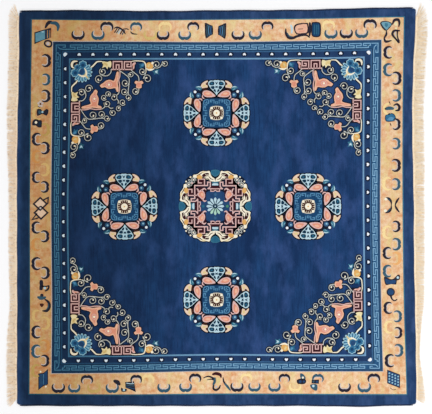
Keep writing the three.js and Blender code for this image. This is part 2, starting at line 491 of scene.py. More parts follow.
dyes = {
    "fieldNavy": ((28, 67, 116), (11, 41, 82), 0.45, 0.95, (52, 80, 134)),
    "outerNavy": ((38, 70, 114), (22, 47, 84), 0.5, 0.8, (54, 80, 124)),
    "apricot": ((248, 220, 184), (223, 155, 104), 1.0, 0.4, (232, 210, 148)),
    "guardNavy": ((42, 80, 116), (30, 62, 96), 0.5, 0.5, None),
    "pearlNavy": ((34, 64, 106), (24, 48, 86), 0.5, 0.5, None),
    "fretBlue": ((40, 88, 130), (24, 66, 106), 0.5, 0.6, None),
    "lineBlue": ((60, 102, 144), (44, 84, 122), 0.5, 0.5, None),
    "pearlShade": ((14, 28, 56), (10, 22, 44), 0.5, 0.4, None),
    "fretEdge": ((34, 70, 104), (24, 54, 84), 0.5, 0.5, None),
    "fretPale": ((136, 182, 212), (104, 152, 188), 0.6, 0.5, None),
    "lightBlue": ((120, 162, 196), (98, 142, 180), 0.6, 0.5, None),
    "edgeTeal": ((68, 124, 148), (42, 104, 128), 0.6, 0.5, None),
    "lilac": ((214, 204, 200), (186, 178, 184), 0.6, 0.4, None),
    "nearBlack": ((15, 26, 50), (10, 18, 38), 0.5, 0.4, None),
    "ink": ((42, 38, 52), (28, 26, 40), 0.5, 0.4, None),
    "midBlue": ((60, 96, 114), (44, 78, 98), 0.6, 0.4, None),
    "pearl": ((248, 251, 255), (230, 239, 250), 0.6, 0.3, None),
    "ice": ((200, 226, 236), (172, 206, 220), 0.6, 0.4, None),
    "teal": ((46, 108, 138), (26, 88, 120), 0.6, 0.4, None),
    "deepTeal": ((8, 52, 78), (4, 40, 62), 0.5, 0.4, None),
    "salmon": ((228, 156, 130), (212, 134, 110), 0.5, 0.3, None),
    "salmonPale": ((240, 190, 162), (230, 170, 142), 0.5, 0.3, None),
    "pink": ((228, 190, 184), (210, 166, 166), 0.5, 0.3, None),
    "maroon": ((62, 18, 28), (44, 10, 20), 0.5, 0.4, None),
    "brown": ((74, 34, 24), (54, 22, 16), 0.5, 0.3, None),
    "straw": ((242, 230, 186), (230, 212, 158), 0.5, 0.3, None),
    "paleGold": ((252, 228, 170), (246, 214, 150), 0.6, 0.3, None),
    "orangeGold": ((242, 184, 122), (236, 172, 110), 0.6, 0.3, None),
    "olive": ((224, 200, 132), (216, 188, 118), 0.6, 0.3, None),
    "yellow": ((228, 208, 152), (216, 188, 120), 0.5, 0.3, None),
    "gold": ((228, 178, 104), (212, 154, 82), 0.5, 0.3, None),
    "cream": ((252, 246, 226), (240, 226, 194), 0.5, 0.3, None),
    "vine": ((206, 210, 204), (178, 184, 182), 0.5, 0.3, None),
    "peach": ((236, 210, 188), (224, 190, 162), 0.5, 0.3, None),
    "greenDot": ((84, 150, 118), (60, 120, 96), 0.5, 0.3, None),
    "mint": ((184, 222, 200), (150, 196, 186), 0.6, 0.3, None),
    "petalBlue": ((52, 114, 152), (34, 88, 130), 0.6, 0.3, None),
    "petalRim": ((156, 200, 214), (128, 176, 200), 0.6, 0.3, None),
    "royal": ((38, 76, 120), (26, 54, 96), 0.6, 0.4, None),
    "squareTeal": ((22, 72, 114), (16, 54, 92), 0.6, 0.4, None),
    "bookTeal": ((118, 166, 182), (88, 142, 162), 0.7, 0.4, None),
    "hookBlue": ((98, 154, 190), (68, 122, 162), 0.7, 0.3, None),
}
grounds = (
    "fieldNavy", "outerNavy", "apricot", "guardNavy", "pearlNavy", "fretBlue", "fretEdge", "fretPale", "lineBlue",
    "lightBlue", "edgeTeal", "cordWool", "paleGold", "orangeGold", "olive",
)
pileOf = {}


def pile(dye):
    if dye not in pileOf:
        colour, shade, mottle, streaks, third = dyes[dye]
        # lean is the share of the painted shade along X: all of it on the grounds, less of it on the motifs
        lean = 1.0 if dye in grounds else wool["motifShadeShare"]
        scale = {"fieldNavy": 2.0, "apricot": 0.9}.get(dye, 1.0)
        pileOf[dye] = woolPile(dye, colour, shade, mottle, streaks, scale, third, lean)
    return pileOf[dye]


# Body of the rug: backing and pile in one, its edge sheared round

bodySection = (
    (0.0016, 0.0), (0.0, 0.0014), (0.0, 0.0080), (0.0011, 0.0099), (0.0030, 0.0106), (0.0062, rug["pileTop"]),
)
backColours = {"backField": (30, 50, 84), "backBlue": (66, 102, 132), "backGold": (206, 164, 118), "backNavy": (36, 56, 88)}


def roundedSquare(reach, radius, rows=61, arc=6):
    # Anticlockwise, starting at the low end of the right side, with the same count at every size
    span = reach - radius
    quarter = [(reach, span * (2 * i / (rows - 1) - 1)) for i in range(rows)]
    quarter += [
        (span + radius * cos(pi / 2 * k / arc), span + radius * sin(pi / 2 * k / arc)) for k in range(1, arc)
    ]
    loop = []
    for c, s in ((1, 0), (0, 1), (-1, 0), (0, -1)):
        loop += [(c * x - s * y, s * x + c * y) for x, y in quarter]
    return loop


def onBody(point):
    # The cords take their width off the back and front of the pile
    x, y = woven(point)
    pull = max(abs(point[1]) - 1.2, 0) / (half - 1.2) * rug["cordWidth"]
    return x, y - (pull if point[1] > 0 else -pull)


def wovenBack(name, colour):
    # Flat knots seen from behind, row by row
    material = bpy.data.materials.new(name)
    material.use_nodes = True
    tree = material.node_tree
    bsdf = tree.nodes["Principled BSDF"]
    place = node(tree, "ShaderNodeTexCoord").outputs["Object"]
    rows = node(tree, "ShaderNodeTexBrick", offset=0.5)
    rows.inputs["Scale"].default_value = 1 / wool["knot"]
    rows.inputs["Mortar Size"].default_value = 0.08
    rows.inputs["Brick Width"].default_value = 1.0
    rows.inputs["Row Height"].default_value = 0.7
    for socket, share in (("Color1", 1.0), ("Color2", 0.82), ("Mortar", 0.45)):
        rows.inputs[socket].default_value = (*[c * share for c in linear(colour)], 1)
    tree.links.new(place, rows.inputs["Vector"])
    tree.links.new(rows.outputs["Color"], bsdf.inputs["Base Color"])
    bump = node(tree, "ShaderNodeBump")
    bump.inputs["Distance"].default_value = 0.0006
    tree.links.new(rows.outputs["Fac"], bump.inputs["Height"])
    tree.links.new(bump.outputs[0], bsdf.inputs["Normal"])
    bsdf.inputs["Roughness"].default_value = 0.9
    return material


def rugBody():
    edge = [onBody(point) for point in roundedSquare(half, rug["cornerRadius"])]
    normals = turnedNormals(edge, True)
    loops = []
    for reach in (trueLine["fieldLine"], trueLine["goldInner"], trueLine["goldOuter"]):
        loops.append([(*woven(point), 0.0) for point in roundedSquare(reach, 0.004)])
    for inset, z in bodySection:
        loops.append([(x + nx * inset, y + ny * inset, z) for (x, y), (nx, ny) in zip(edge, normals)])
    loops.append([(*woven(point), rug["pileTop"]) for point in roundedSquare(1.24, 0.004)])
    size = len(edge)
    points = [point for loop in loops for point in loop]
    faces = [tuple(range(size - 1, -1, -1))]
    for r in range(len(loops) - 1):
        a, b = r * size, (r + 1) * size
        faces += [(a + i, a + (i + 1) % size, b + (i + 1) % size, b + i) for i in range(size)]
    faces.append(tuple(range((len(loops) - 1) * size, len(loops) * size)))
    backs = [wovenBack(name, colour) for name, colour in backColours.items()]
    made = solidFrom("rug_body", points, faces, [pile("outerNavy"), *backs])
    for face in made.data.polygons:
        # The back shows the same bands, ring by ring from the middle
        ring = (face.index - 1) // size
        if face.index == 0:
            face.material_index = 1
        elif ring <= 2:
            face.material_index = ring + 2
    return made


body = rugBody()
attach(body, "root")
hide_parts("pile_body")
print("rug: body made")


# Bands, each a closed frame between two true squares

def squareLine(reach, rows=60):
    side = [(reach, reach * (2 * i / rows - 1)) for i in range(rows)]
    loop = []
    for c, s in ((1, 0), (0, 1), (-1, 0), (0, -1)):
        loop += [woven((c * x - s * y, s * x + c * y)) for x, y in side]
    return loop


def band(dye, outer, inner, level=0):
    top = heightOf(level)
    loops = []
    for (ax, ay), (bx, by) in zip(squareLine(outer), squareLine(inner)):
        wide = hypot(bx - ax, by - ay)
        share = min(relief["bevel"], 0.25 * wide) / wide
        near = (ax + (bx - ax) * share, ay + (by - ay) * share)
        far = (bx + (ax - bx) * share, by + (ay - by) * share)
        loops.append([
            (ax, ay, relief["foot"]), (ax, ay, top - relief["shoulder"]), (*near, top),
            (*far, top), (bx, by, top - relief["shoulder"]), (bx, by, relief["foot"]),
        ])
    addLoops(dye, loops, True)


bands = (
    ("edgeTeal", 1.2860, 1.2795, 1),
    ("apricot", 1.2800, 1.1290, 0),
    ("lilac", 1.1300, 1.1255, 1),
    ("guardNavy", 1.1260, 1.1095, 0),
    ("fretBlue", 1.1100, 1.0710, 0),
    ("fretEdge", 1.0712, 1.0643, 0),
    ("lineBlue", 1.0645, 1.0555, 1),
    ("pearlNavy", 1.0557, 1.0173, 0),
    ("lightBlue", 1.0175, 1.0063, 1),
)
drawing["part"] = "bands"
for dye, outer, inner, level in bands:
    band(dye, outer, inner, level)
drawing["part"] = "field"
addLoops("fieldNavy", patchLoops(squareLine(1.0067), heightOf(0)))

# Fret: one line winds between three tracks, 22 turns a side, with an L at the corner

fret = {
    "tracks": (1.076, 1.090, 1.104),     # inner, middle and outer track, from the middle of the rug
    "turns": 22,
    "start": -1.056,
    "line": 1.0,                         # squares
    "cornerArm": 0.044,
}


def fretSide(place):
    inner, middle, outer = fret["tracks"]
    pitch = -2 * fret["start"] / fret["turns"]
    winding = [(-outer + 0.010, outer - 0.010), (-inner - 0.004, inner + 0.004), (fret["start"], inner)]
    for k in range(fret["turns"]):
        s = fret["start"] + k * pitch
        winding += [(s + 0.84 * pitch, inner), (s + 0.84 * pitch, middle), (s + 0.5 * pitch, middle)]
        winding += [(s + 0.5 * pitch, outer)]
        if k < fret["turns"] - 1:
            winding += [(s + 1.34 * pitch, outer), (s + 1.34 * pitch, middle), (s + pitch, middle)]
            winding += [(s + pitch, inner)]
    stop = outer - fret["cornerArm"] - 0.006
    winding += [(stop, outer), (stop, middle), (stop - 0.022, middle)]
    arm = fret["cornerArm"]
    corner = [(-outer, outer - arm), (-outer, outer), (-outer + 1.4 * arm, outer), (-outer + 1.4 * arm, middle)]
    corner += [(-outer + arm, middle)]
    for line in (winding, corner):
        squares = [(s / rug["square"], out / rug["square"]) for s, out in line]
        stroke("fretPale", place, squares, fret["line"], 1, 1, ends=False)


drawing["part"] = "fret"
for quarter in range(4):
    fretSide(motifAt(0, 0, quarter * pi / 2))

# Geometry Nodes for what repeats

def growth(name, inputs):
    tree = bpy.data.node_groups.new(name, "GeometryNodeTree")
    tree.interface.new_socket("Geometry", in_out="INPUT", socket_type="NodeSocketGeometry")
    for label, kind, value in inputs:
        socket = tree.interface.new_socket(label, in_out="INPUT", socket_type="NodeSocket" + kind)
        if value is not None:
            socket.default_value = value
    tree.interface.new_socket("Geometry", in_out="OUTPUT", socket_type="NodeSocketGeometry")
    return tree, tree.nodes.new("NodeGroupInput"), tree.nodes.new("NodeGroupOutput")


def grow(name, tree, seed, values):
    # Runs a tree on an object and keeps what grows as a plain mesh
    modifier = seed.modifiers.new(name, "NODES")
    modifier.node_group = tree
    for item in tree.interface.items_tree:
        if item.in_out == "INPUT" and item.name in values:
            modifier[item.identifier] = values[item.name]
    bpy.context.view_layer.update()
    grown = seed.evaluated_get(bpy.context.evaluated_depsgraph_get())
    mesh = bpy.data.meshes.new_from_object(grown)
    bpy.data.objects.remove(seed)
    mesh.name = name
    made = bpy.data.objects.new(name, mesh)
    bpy.context.scene.collection.objects.link(made)
    return made


def seedObject(name, points, edges=(), faces=(), numbers=()):
    mesh = bpy.data.meshes.new(name)
    mesh.from_pydata(points, edges, faces)
    for label, values in numbers:
        mesh.attributes.new(label, "FLOAT", "POINT").data.foreach_set("value", values)
    made = bpy.data.objects.new(name, mesh)
    bpy.context.scene.collection.objects.link(made)
    return made


def link(tree, source, target):
    tree.links.new(source, target)


def named(tree, label, kind="FLOAT"):
    attribute = node(tree, "GeometryNodeInputNamedAttribute", data_type=kind)
    attribute.inputs["Name"].default_value = label
    return attribute.outputs["Attribute"]


def repeatTree():
    # One motif on every point, turned by the point's own angle
    tree, given, result = growth("repeatedMotif", (
        ("Motif", "Object", None), ("Size", "Float", 1.0), ("Unevenness", "Float", 0.05),
        ("Seed", "Int", 3), ("Wool", "Material", None),
    ))
    motif = node(tree, "GeometryNodeObjectInfo")
    link(tree, given.outputs["Motif"], motif.inputs["Object"])
    turn = node(tree, "ShaderNodeCombineXYZ")
    link(tree, named(tree, "turn"), turn.inputs["Z"])
    low = node(tree, "ShaderNodeMath", operation="SUBTRACT")
    high = node(tree, "ShaderNodeMath", operation="ADD")
    size = node(tree, "FunctionNodeRandomValue")
    for math in (low, high):
        link(tree, given.outputs["Size"], math.inputs[0])
        link(tree, given.outputs["Unevenness"], math.inputs[1])
    link(tree, low.outputs[0], size.inputs[2])
    link(tree, high.outputs[0], size.inputs[3])
    link(tree, given.outputs["Seed"], size.inputs["Seed"])
    across = node(tree, "ShaderNodeCombineXYZ")
    link(tree, size.outputs[1], across.inputs["X"])
    link(tree, size.outputs[1], across.inputs["Y"])
    across.inputs["Z"].default_value = 1.0
    spots = node(tree, "GeometryNodeInstanceOnPoints")
    link(tree, given.outputs["Geometry"], spots.inputs["Points"])
    link(tree, motif.outputs["Geometry"], spots.inputs["Instance"])
    link(tree, turn.outputs[0], spots.inputs["Rotation"])
    link(tree, across.outputs[0], spots.inputs["Scale"])
    real = node(tree, "GeometryNodeRealizeInstances")
    coat = node(tree, "GeometryNodeSetMaterial")
    link(tree, spots.outputs[0], real.inputs[0])
    link(tree, real.outputs[0], coat.inputs["Geometry"])
    link(tree, given.outputs["Wool"], coat.inputs["Material"])
    link(tree, coat.outputs[0], result.inputs[0])
    return tree


motifTree = repeatTree()


def loneMotif(name, loops):
    # A lone raised shape in its own middle, the motif that a tree repeats
    size, rings = len(loops[0]), len(loops)
    faces = [tuple(range(size - 1, -1, -1)), tuple(range((rings - 1) * size, rings * size))]
    for r in range(rings - 1):
        a, b = r * size, (r + 1) * size
        faces += [(a + i, a + (i + 1) % size, b + (i + 1) % size, b + i) for i in range(size)]
    return solidFrom(name, [point for loop in loops for point in loop], faces, [])


def patchMotif(name, outline, level, steps=3):
    spots = [(x * rug["square"], y * rug["square"]) for x, y in smoothPath(outline, steps, True)]
    return loneMotif(name, patchLoops(spots, heightOf(level)))


def strokeMotif(name, line, widths, level, steps=3):
    rows = smoothPath([(*p, w) for p, w in zip(line, widths)], steps)
    path = [(x * rug["square"], y * rug["square"]) for x, y, w in rows]
    path, halves = roundedEnds(path, [w / 2 * rug["square"] for x, y, w in rows])
    return loneMotif(name, strokeLoops(path, halves, heightOf(level)))


def repeated(name, motif, places, dye, size=1.0, unevenness=0.05):
    spots = [(*woven((x * rug["square"], y * rug["square"])), 0.0) for x, y, turn in places]
    seed = seedObject(name + "Seed", spots, numbers=[("turn", [turn for x, y, turn in places])])
    made = grow(name, motifTree, seed, {
        "Motif": motif, "Size": size, "Unevenness": unevenness, "Wool": pile(dye),
    })
    bpy.data.objects.remove(motif)
    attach(made, "root")


pearls = {"between": 13.825, "out": 152.1, "aside": 22, "size": 0.66, "shade": 1.95}
pearlHalf = [(0, -1.3), (1.1, -1.75), (2.0, -1.6), (2.35, -0.6), (1.8, 0.8), (0.9, 1.75), (0, 2.05)]
pearlPlaces = []
for side in range(4):
    c, s = (1, 0, -1, 0)[side], (0, 1, 0, -1)[side]
    for i in range(1, pearls["aside"]):
        along = (i - pearls["aside"] / 2) * pearls["between"]
        pearlPlaces.append((c * along - s * pearls["out"], s * along + c * pearls["out"], side * pi / 2))
shade = [(1.75 * cos(2 * pi * i / 12), 1.45 * sin(2 * pi * i / 12)) for i in range(12)]
repeated("pearls", patchMotif("pearlOne", mirrored(pearlHalf), 2), pearlPlaces, "pearl", pearls["size"])
repeated("pearlShades", patchMotif("pearlShade", shade, 0.6, 1), pearlPlaces, "pearlShade", pearls["shade"])
drawing["part"] = "cornerPearl"
for quarter in range(4):
    spot = motifAt(0, 0, quarter * pi / 2)
    disc("pearl", spot, (pearls["out"], pearls["out"]), 2.0, 2, 14)
    stroke("nearBlack", spot, [(151.9, 150.4), (150.9, 151.0), (150.4, 152.0)], 0.9, 3)

# Overcast cords along the back and front, wrapped round and round with dark wool

overcast = {"width": 0.0106, "height": 0.0088, "wrap": 0.0062, "swell": 0.10, "past": 0.030}


def overcastTree():
    tree, given, result = growth("overcast", (
        ("Width", "Float", overcast["width"]), ("Height", "Float", overcast["height"]),
        ("Wrap", "Float", overcast["wrap"]), ("Swell", "Float", overcast["swell"]), ("Wool", "Material", None),
    ))
    curve = node(tree, "GeometryNodeMeshToCurve")
    link(tree, given.outputs["Geometry"], curve.inputs["Mesh"])
    step = node(tree, "ShaderNodeMath", operation="DIVIDE")
    link(tree, given.outputs["Wrap"], step.inputs[0])
    step.inputs[1].default_value = 4
    finer = node(tree, "GeometryNodeResampleCurve", mode="LENGTH")
    link(tree, curve.outputs[0], finer.inputs["Curve"])
    link(tree, step.outputs[0], finer.inputs["Length"])
    swelling = node(tree, "GeometryNodeInputIndex")
    angle = node(tree, "ShaderNodeMath", operation="MULTIPLY")
    link(tree, swelling.outputs[0], angle.inputs[0])
    angle.inputs[1].default_value = pi / 2
    wave = node(tree, "ShaderNodeMath", operation="SINE")
    link(tree, angle.outputs[0], wave.inputs[0])
    radius = node(tree, "ShaderNodeMath", operation="MULTIPLY_ADD")
    link(tree, wave.outputs[0], radius.inputs[0])
    link(tree, given.outputs["Swell"], radius.inputs[1])
    radius.inputs[2].default_value = 0.9
    span = node(tree, "GeometryNodeSplineParameter")
    ends = node(tree, "ShaderNodeMapRange")
    fromEnd = node(tree, "ShaderNodeMath", operation="PINGPONG")
    link(tree, span.outputs["Factor"], fromEnd.inputs[0])
    fromEnd.inputs[1].default_value = 0.5
    link(tree, fromEnd.outputs[0], ends.inputs[0])
    for i, number in enumerate((0.0, 0.006, 0.45, 1.0)):
        ends.inputs[i + 1].default_value = number
    shaped = node(tree, "ShaderNodeMath", operation="MULTIPLY")
    link(tree, radius.outputs[0], shaped.inputs[0])
    link(tree, ends.outputs[0], shaped.inputs[1])
    ring = node(tree, "GeometryNodeCurvePrimitiveCircle")
    ring.inputs["Resolution"].default_value = 8
    ring.inputs["Radius"].default_value = 0.5
    oval = node(tree, "GeometryNodeTransform")
    squash = node(tree, "ShaderNodeCombineXYZ")
    link(tree, given.outputs["Width"], squash.inputs["X"])
    link(tree, given.outputs["Height"], squash.inputs["Y"])
    link(tree, ring.outputs[0], oval.inputs["Geometry"])
    link(tree, squash.outputs[0], oval.inputs["Scale"])
    tube = node(tree, "GeometryNodeCurveToMesh")
    link(tree, finer.outputs[0], tube.inputs["Curve"])
    link(tree, oval.outputs[0], tube.inputs["Profile Curve"])
    link(tree, shaped.outputs[0], tube.inputs["Scale"])
    tube.inputs["Fill Caps"].default_value = True
    real = node(tree, "GeometryNodeRealizeInstances")
    coat = node(tree, "GeometryNodeSetMaterial")
    link(tree, tube.outputs[0], real.inputs[0])
    link(tree, real.outputs[0], coat.inputs["Geometry"])
    link(tree, given.outputs["Wool"], coat.inputs["Material"])
    link(tree, coat.outputs[0], result.inputs[0])
    return tree


dyes["cordWool"] = ((40, 52, 84), (28, 38, 66), 0.6, 0.5, None)
cordTree = overcastTree()
for side, sign in (("back", 1), ("front", -1)):
    spots = []
    for i in range(121):
        along = (rug["cordSpan"] + overcast["past"]) * (i / 60 - 1)
        out = half + edgeOut(side, min(max(along, -1.312), 1.312)) - rug["cordWidth"] + overcast["width"] / 2
        spots.append((along + rug["middle"][0], sign * out + rug["middle"][1], overcast["height"] / 2))
    seed = seedObject("cord_" + side + "Seed", spots, [(i, i + 1) for i in range(120)])
    cord = grow("side_cord_" + side + "_wrapped", cordTree, seed, {"Wool": pile("cordWool")})
    cord.data.shade_smooth()
    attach(cord, "root")
    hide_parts("side_cord_" + side)

# Fringe: cotton warp ends in loose bundles beyond a narrow woven strip

fringe = {
    "web": 0.0117,
    "webTop": 0.0036,
    "span": 1.308,
    "bundles": 120,
    "yarns": 17,               # in a bundle
    "yarnWidth": 0.0017,
    "bundleWidth": 0.0218,
    "lengths": {
        "left": (60, 64, 44, 50, 48, 56, 66, 64, 62), "right": (52, 18, 52, 64, 64, 72, 70, 74, 76),
    },   # mm beyond the strip
    "ragged": 0.18,
    "splay": {"left": (0.6, 1.05), "right": (0.3, 1.05)},   # lean of the lowest and highest locks, as a slope
    "longer": {"left": (0.18, 0.3), "right": (0.08, 0.15)},   # and how much longer they are
}


def fringeTree():
    # Every point is the root of a yarn; its reach, lean and lift come with it
    tree, given, result = growth("warpEnds", (
        ("Yarn width", "Float", fringe["yarnWidth"]), ("Joints", "Int", 7), ("Waver", "Float", 0.0035),
        ("Waver length", "Float", 0.022), ("Seed", "Float", 4.0), ("Cotton", "Material", None),
    ))
    yarn = node(tree, "GeometryNodeCurvePrimitiveLine")
    yarn.inputs["End"].default_value = (1, 0, 0)
    spots = node(tree, "GeometryNodeInstanceOnPoints")
    link(tree, given.outputs["Geometry"], spots.inputs["Points"])
    link(tree, yarn.outputs[0], spots.inputs["Instance"])
    scale = node(tree, "ShaderNodeCombineXYZ")
    for axis in "XYZ":
        link(tree, named(tree, "reach"), scale.inputs[axis])
    turn = node(tree, "ShaderNodeCombineXYZ")
    link(tree, named(tree, "turn"), turn.inputs["Z"])
    link(tree, scale.outputs[0], spots.inputs["Scale"])
    link(tree, turn.outputs[0], spots.inputs["Rotation"])
    real = node(tree, "GeometryNodeRealizeInstances")
    link(tree, spots.outputs[0], real.inputs[0])
    joints = node(tree, "GeometryNodeResampleCurve", mode="COUNT")
    link(tree, real.outputs[0], joints.inputs["Curve"])
    link(tree, given.outputs["Joints"], joints.inputs["Count"])
    span = node(tree, "GeometryNodeSplineParameter")
    place = node(tree, "GeometryNodeInputPosition")
    waver = node(tree, "ShaderNodeTexNoise", noise_dimensions="4D")
    inverse = node(tree, "ShaderNodeMath", operation="DIVIDE")
    inverse.inputs[0].default_value = 1.0
    link(tree, given.outputs["Waver length"], inverse.inputs[1])
    link(tree, place.outputs[0], waver.inputs["Vector"])
    link(tree, inverse.outputs[0], waver.inputs["Scale"])
    link(tree, given.outputs["Seed"], waver.inputs["W"])
    waver.inputs["Detail"].default_value = 2
    centred = node(tree, "ShaderNodeVectorMath", operation="SUBTRACT")
    link(tree, waver.outputs["Color"], centred.inputs[0])
    centred.inputs[1].default_value = (0.5, 0.5, 0.5)
    amount = node(tree, "ShaderNodeMath", operation="MULTIPLY")
    link(tree, span.outputs["Factor"], amount.inputs[0])
    link(tree, given.outputs["Waver"], amount.inputs[1])
    doubled = node(tree, "ShaderNodeMath", operation="MULTIPLY")
    link(tree, amount.outputs[0], doubled.inputs[0])
    doubled.inputs[1].default_value = 4
    swung = node(tree, "ShaderNodeVectorMath", operation="SCALE")
    link(tree, centred.outputs[0], swung.inputs[0])
    link(tree, doubled.outputs[0], swung.inputs["Scale"])
    flat = node(tree, "ShaderNodeVectorMath", operation="MULTIPLY")
    link(tree, swung.outputs[0], flat.inputs[0])
    flat.inputs[1].default_value = (0.4, 1.0, 0.15)
    moved = node(tree, "GeometryNodeSetPosition")
    link(tree, joints.outputs[0], moved.inputs["Geometry"])
    link(tree, flat.outputs[0], moved.inputs["Offset"])
    thick = node(tree, "GeometryNodeCurvePrimitiveCircle")
    thick.inputs["Resolution"].default_value = 4
    halved = node(tree, "ShaderNodeMath", operation="MULTIPLY")
    link(tree, given.outputs["Yarn width"], halved.inputs[0])
    halved.inputs[1].default_value = 0.5
    link(tree, halved.outputs[0], thick.inputs["Radius"])
    thin = node(tree, "ShaderNodeMapRange")
    link(tree, span.outputs["Factor"], thin.inputs[0])
    for i, number in enumerate((0.55, 1.0, 1.0, 0.45)):
        thin.inputs[i + 1].default_value = number
    strand = node(tree, "GeometryNodeCurveToMesh")
    link(tree, moved.outputs[0], strand.inputs["Curve"])
    link(tree, thick.outputs[0], strand.inputs["Profile Curve"])
    link(tree, thin.outputs[0], strand.inputs["Scale"])
    strand.inputs["Fill Caps"].default_value = True
    coat = node(tree, "GeometryNodeSetMaterial")
    link(tree, strand.outputs[0], coat.inputs["Geometry"])
    link(tree, given.outputs["Cotton"], coat.inputs["Material"])
    link(tree, coat.outputs[0], result.inputs[0])
    return tree


def cotton(name, colour, shade, soilAndShade):
    material = bpy.data.materials.new(name)
    material.use_nodes = True
    tree = material.node_tree
    bsdf = tree.nodes["Principled BSDF"]
    place = node(tree, "ShaderNodeTexCoord").outputs["Object"]
    cloud = node(tree, "ShaderNodeTexNoise")
    cloud.inputs["Scale"].default_value = 9
    cloud.inputs["Detail"].default_value = 5
    link(tree, place, cloud.inputs["Vector"])
    lock = node(tree, "ShaderNodeTexNoise")
    lock.inputs["Scale"].default_value = 60
    link(tree, place, lock.inputs["Vector"])
    mixed = mixColours(tree, spread(tree, cloud.outputs[0], 0.38, 0.66), linear(colour), linear(shade))
    # Dirt and painted shade: patches the size of a lock drift to the darker colour, for soiled yarn and for the shade
    # between strands
    mixed = mixColours(tree, spread(tree, lock.outputs[0], 0.52, 0.72, 0, 0.7), mixed, linear(soilAndShade))
    link(tree, mixed, bsdf.inputs["Base Color"])
    twist = node(tree, "ShaderNodeTexWave", bands_direction="DIAGONAL")
    twist.inputs["Scale"].default_value = 260
    link(tree, place, twist.inputs["Vector"])
    bump = node(tree, "ShaderNodeBump")
    bump.inputs["Strength"].default_value = 0.4
    bump.inputs["Distance"].default_value = 0.0004
    link(tree, twist.outputs["Fac"], bump.inputs["Height"])
    link(tree, bump.outputs[0], bsdf.inputs["Normal"])
    bsdf.inputs["Roughness"].default_value = 0.9
    return material


# Painted shade: the left fringe is given darker colours than the right, as if the light fell off towards -X
cottonOf = {
    "left": cotton("cottonLeft", (252, 232, 204), (246, 222, 192), (206, 176, 146)),
    "right": cotton("cottonRight", (252, 234, 204), (248, 226, 194), (224, 198, 164)),
}
warpTree = fringeTree()


def unsteady(k, salt):
    # A steady stand-in for a random number from 0 to 1
    value = sin(k * 12.9898 + salt * 78.233) * 43758.5453
    return value - (value // 1)


def fringeEnd(side):
    sign = -1 if side == "left" else 1
    lean = fringe["splay"][side]
    rows = 241
    loops = []
    for i in range(rows):
        along = fringe["span"] * (2 * i / (rows - 1) - 1)
        x = sign * (half + edgeOut(side, along) + 0.0003)
        loops.append([
            (x + sign * across + rug["middle"][0], along + rug["middle"][1], z)
            for across, z in (
                (0.0, 0.0002), (fringe["web"], 0.0002), (fringe["web"], 0.0024),
                (fringe["web"] * 0.8, fringe["webTop"]), (fringe["web"] * 0.2, fringe["webTop"]), (0.0, 0.0026),
            )
        ])
    drawing["part"] = "web_" + side
    addLoops("cotton", loops)
    spots, reaches, turns = [], [], []
    pitch = 2 * (fringe["span"] - 0.008) / (fringe["bundles"] - 1)
    for b in range(fringe["bundles"]):
        middleAlong = -fringe["span"] + 0.008 + b * pitch
        share = (middleAlong / fringe["span"] + 1) / 2
        bundleTurn = (unsteady(b, 1.0 if sign > 0 else 2.0) - 0.5) * 0.15
        ends = max(0.0, 1 - share / 0.04), max(0.0, (share - 0.96) / 0.04)
        bundleTurn += lean[1] * ends[1] - lean[0] * ends[0]
        spreading = 26 * max(ends) - 1
        for k in range(fringe["yarns"]):
            across = (k / (fringe["yarns"] - 1) - 0.5) * fringe["bundleWidth"]
            along = middleAlong + across
            x = half + edgeOut(side, along) + 0.008
            length = smoothRead(fringe["lengths"][side], along) / 1000
            length *= 1 + fringe["ragged"] * (unsteady(b * 31 + k, 5.0) - 0.75)
            length *= 1 + fringe["longer"][side][0] * ends[0] + fringe["longer"][side][1] * ends[1]
            turn = bundleTurn + across * spreading + (unsteady(b * 17 + k, 9.0) - 0.5) * 0.16
            z = 0.0012 + 0.0022 * unsteady(b * 13 + k, 3.0)
            spots.append((sign * x + rug["middle"][0], along + rug["middle"][1], z))
            reaches.append(length + 0.004)
            turns.append(turn if sign > 0 else pi - turn)
    seed = seedObject("fringe_" + side + "Seed", spots, numbers=[("reach", reaches), ("turn", turns)])
    made = grow("fringe_" + side + "_yarns", warpTree, seed, {"Cotton": cottonOf[side]})
    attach(made, "root")
    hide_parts("fringe_" + side)
    return made


fringes = [fringeEnd("left"), fringeEnd("right")]
print("rug: fringe and cords made")

# Small cloud brackets in the gold border: on the near track they open outwards, on the far track inwards.
# Some are in dyes close to the ground, so they hardly show.

cloudTracks = {"near": (170.8, 0.0), "far": (180.8, pi)}
clouds = {
    "back": {
        "near": {
            "ink": (-139.4, -54.1, 21.2, 129.9), "midBlue": (-119.4, -32.4, 38.5, 114.5, 145.3), "olive": (-67,),
        },
        "far": {"ink": (-110.5, -23.8, 50.7, 153.5), "midBlue": (-81.1,), "paleGold": (-52, 112)},
    },
    "left": {
        "near": {
            "ink": (146.6, 111.4, 59.6, 20.9, -28.2, -64.6, -151.9), "midBlue": (127.8,),
            "paleGold": (38.1, -114.6), "olive": (78,), "orangeGold": (-137.3,),
        },
        "far": {
            "ink": (68.4, 30.5, -19.5, -55.4, -123.5), "midBlue": (-142.6,), "paleGold": (94, -107.2),
            "orangeGold": (51, -36.5), "olive": (-161.6,),
        },
    },
    "right": {
        "near": {
            "ink": (-152, 46.6, 100.9, 153.4), "midBlue": (-134.9, 64.5), "paleGold": (-96, -22, 26, 120),
        },
        "far": {
            "ink": (-126.3, -80.8, -40.1, 20.3, 125.5), "midBlue": (-109.3, -61.6, -21.5, 37.9, 109.3, 143),
            "orangeGold": (52,),
        },
    },
    "front": {
        "near": {"ink": (129.6, 80.5, 21.8, -67.1, -155.7), "midBlue": (-100.5,), "paleGold": (68.9, -29.2)},
        "far": {
            "ink": (157.6, -19.8, -126.9), "midBlue": (142.3, 104.4, 53, 31.4, -37.2, -57.1, -146.6),
            "olive": (122.7,), "paleGold": (-77.7,),
        },
    },
}
sideTurn = {"back": 0.0, "left": pi / 2, "front": pi, "right": -pi / 2}
cloudHalf = (
    (0, -2.2, 2.4), (1.6, -2.7, 3.1), (3.4, -2.1, 2.8), (4.8, -0.8, 2.3), (5.4, 1.0, 1.8), (5.3, 2.4, 1.4),
    (4.7, 3.7, 0.9),
)
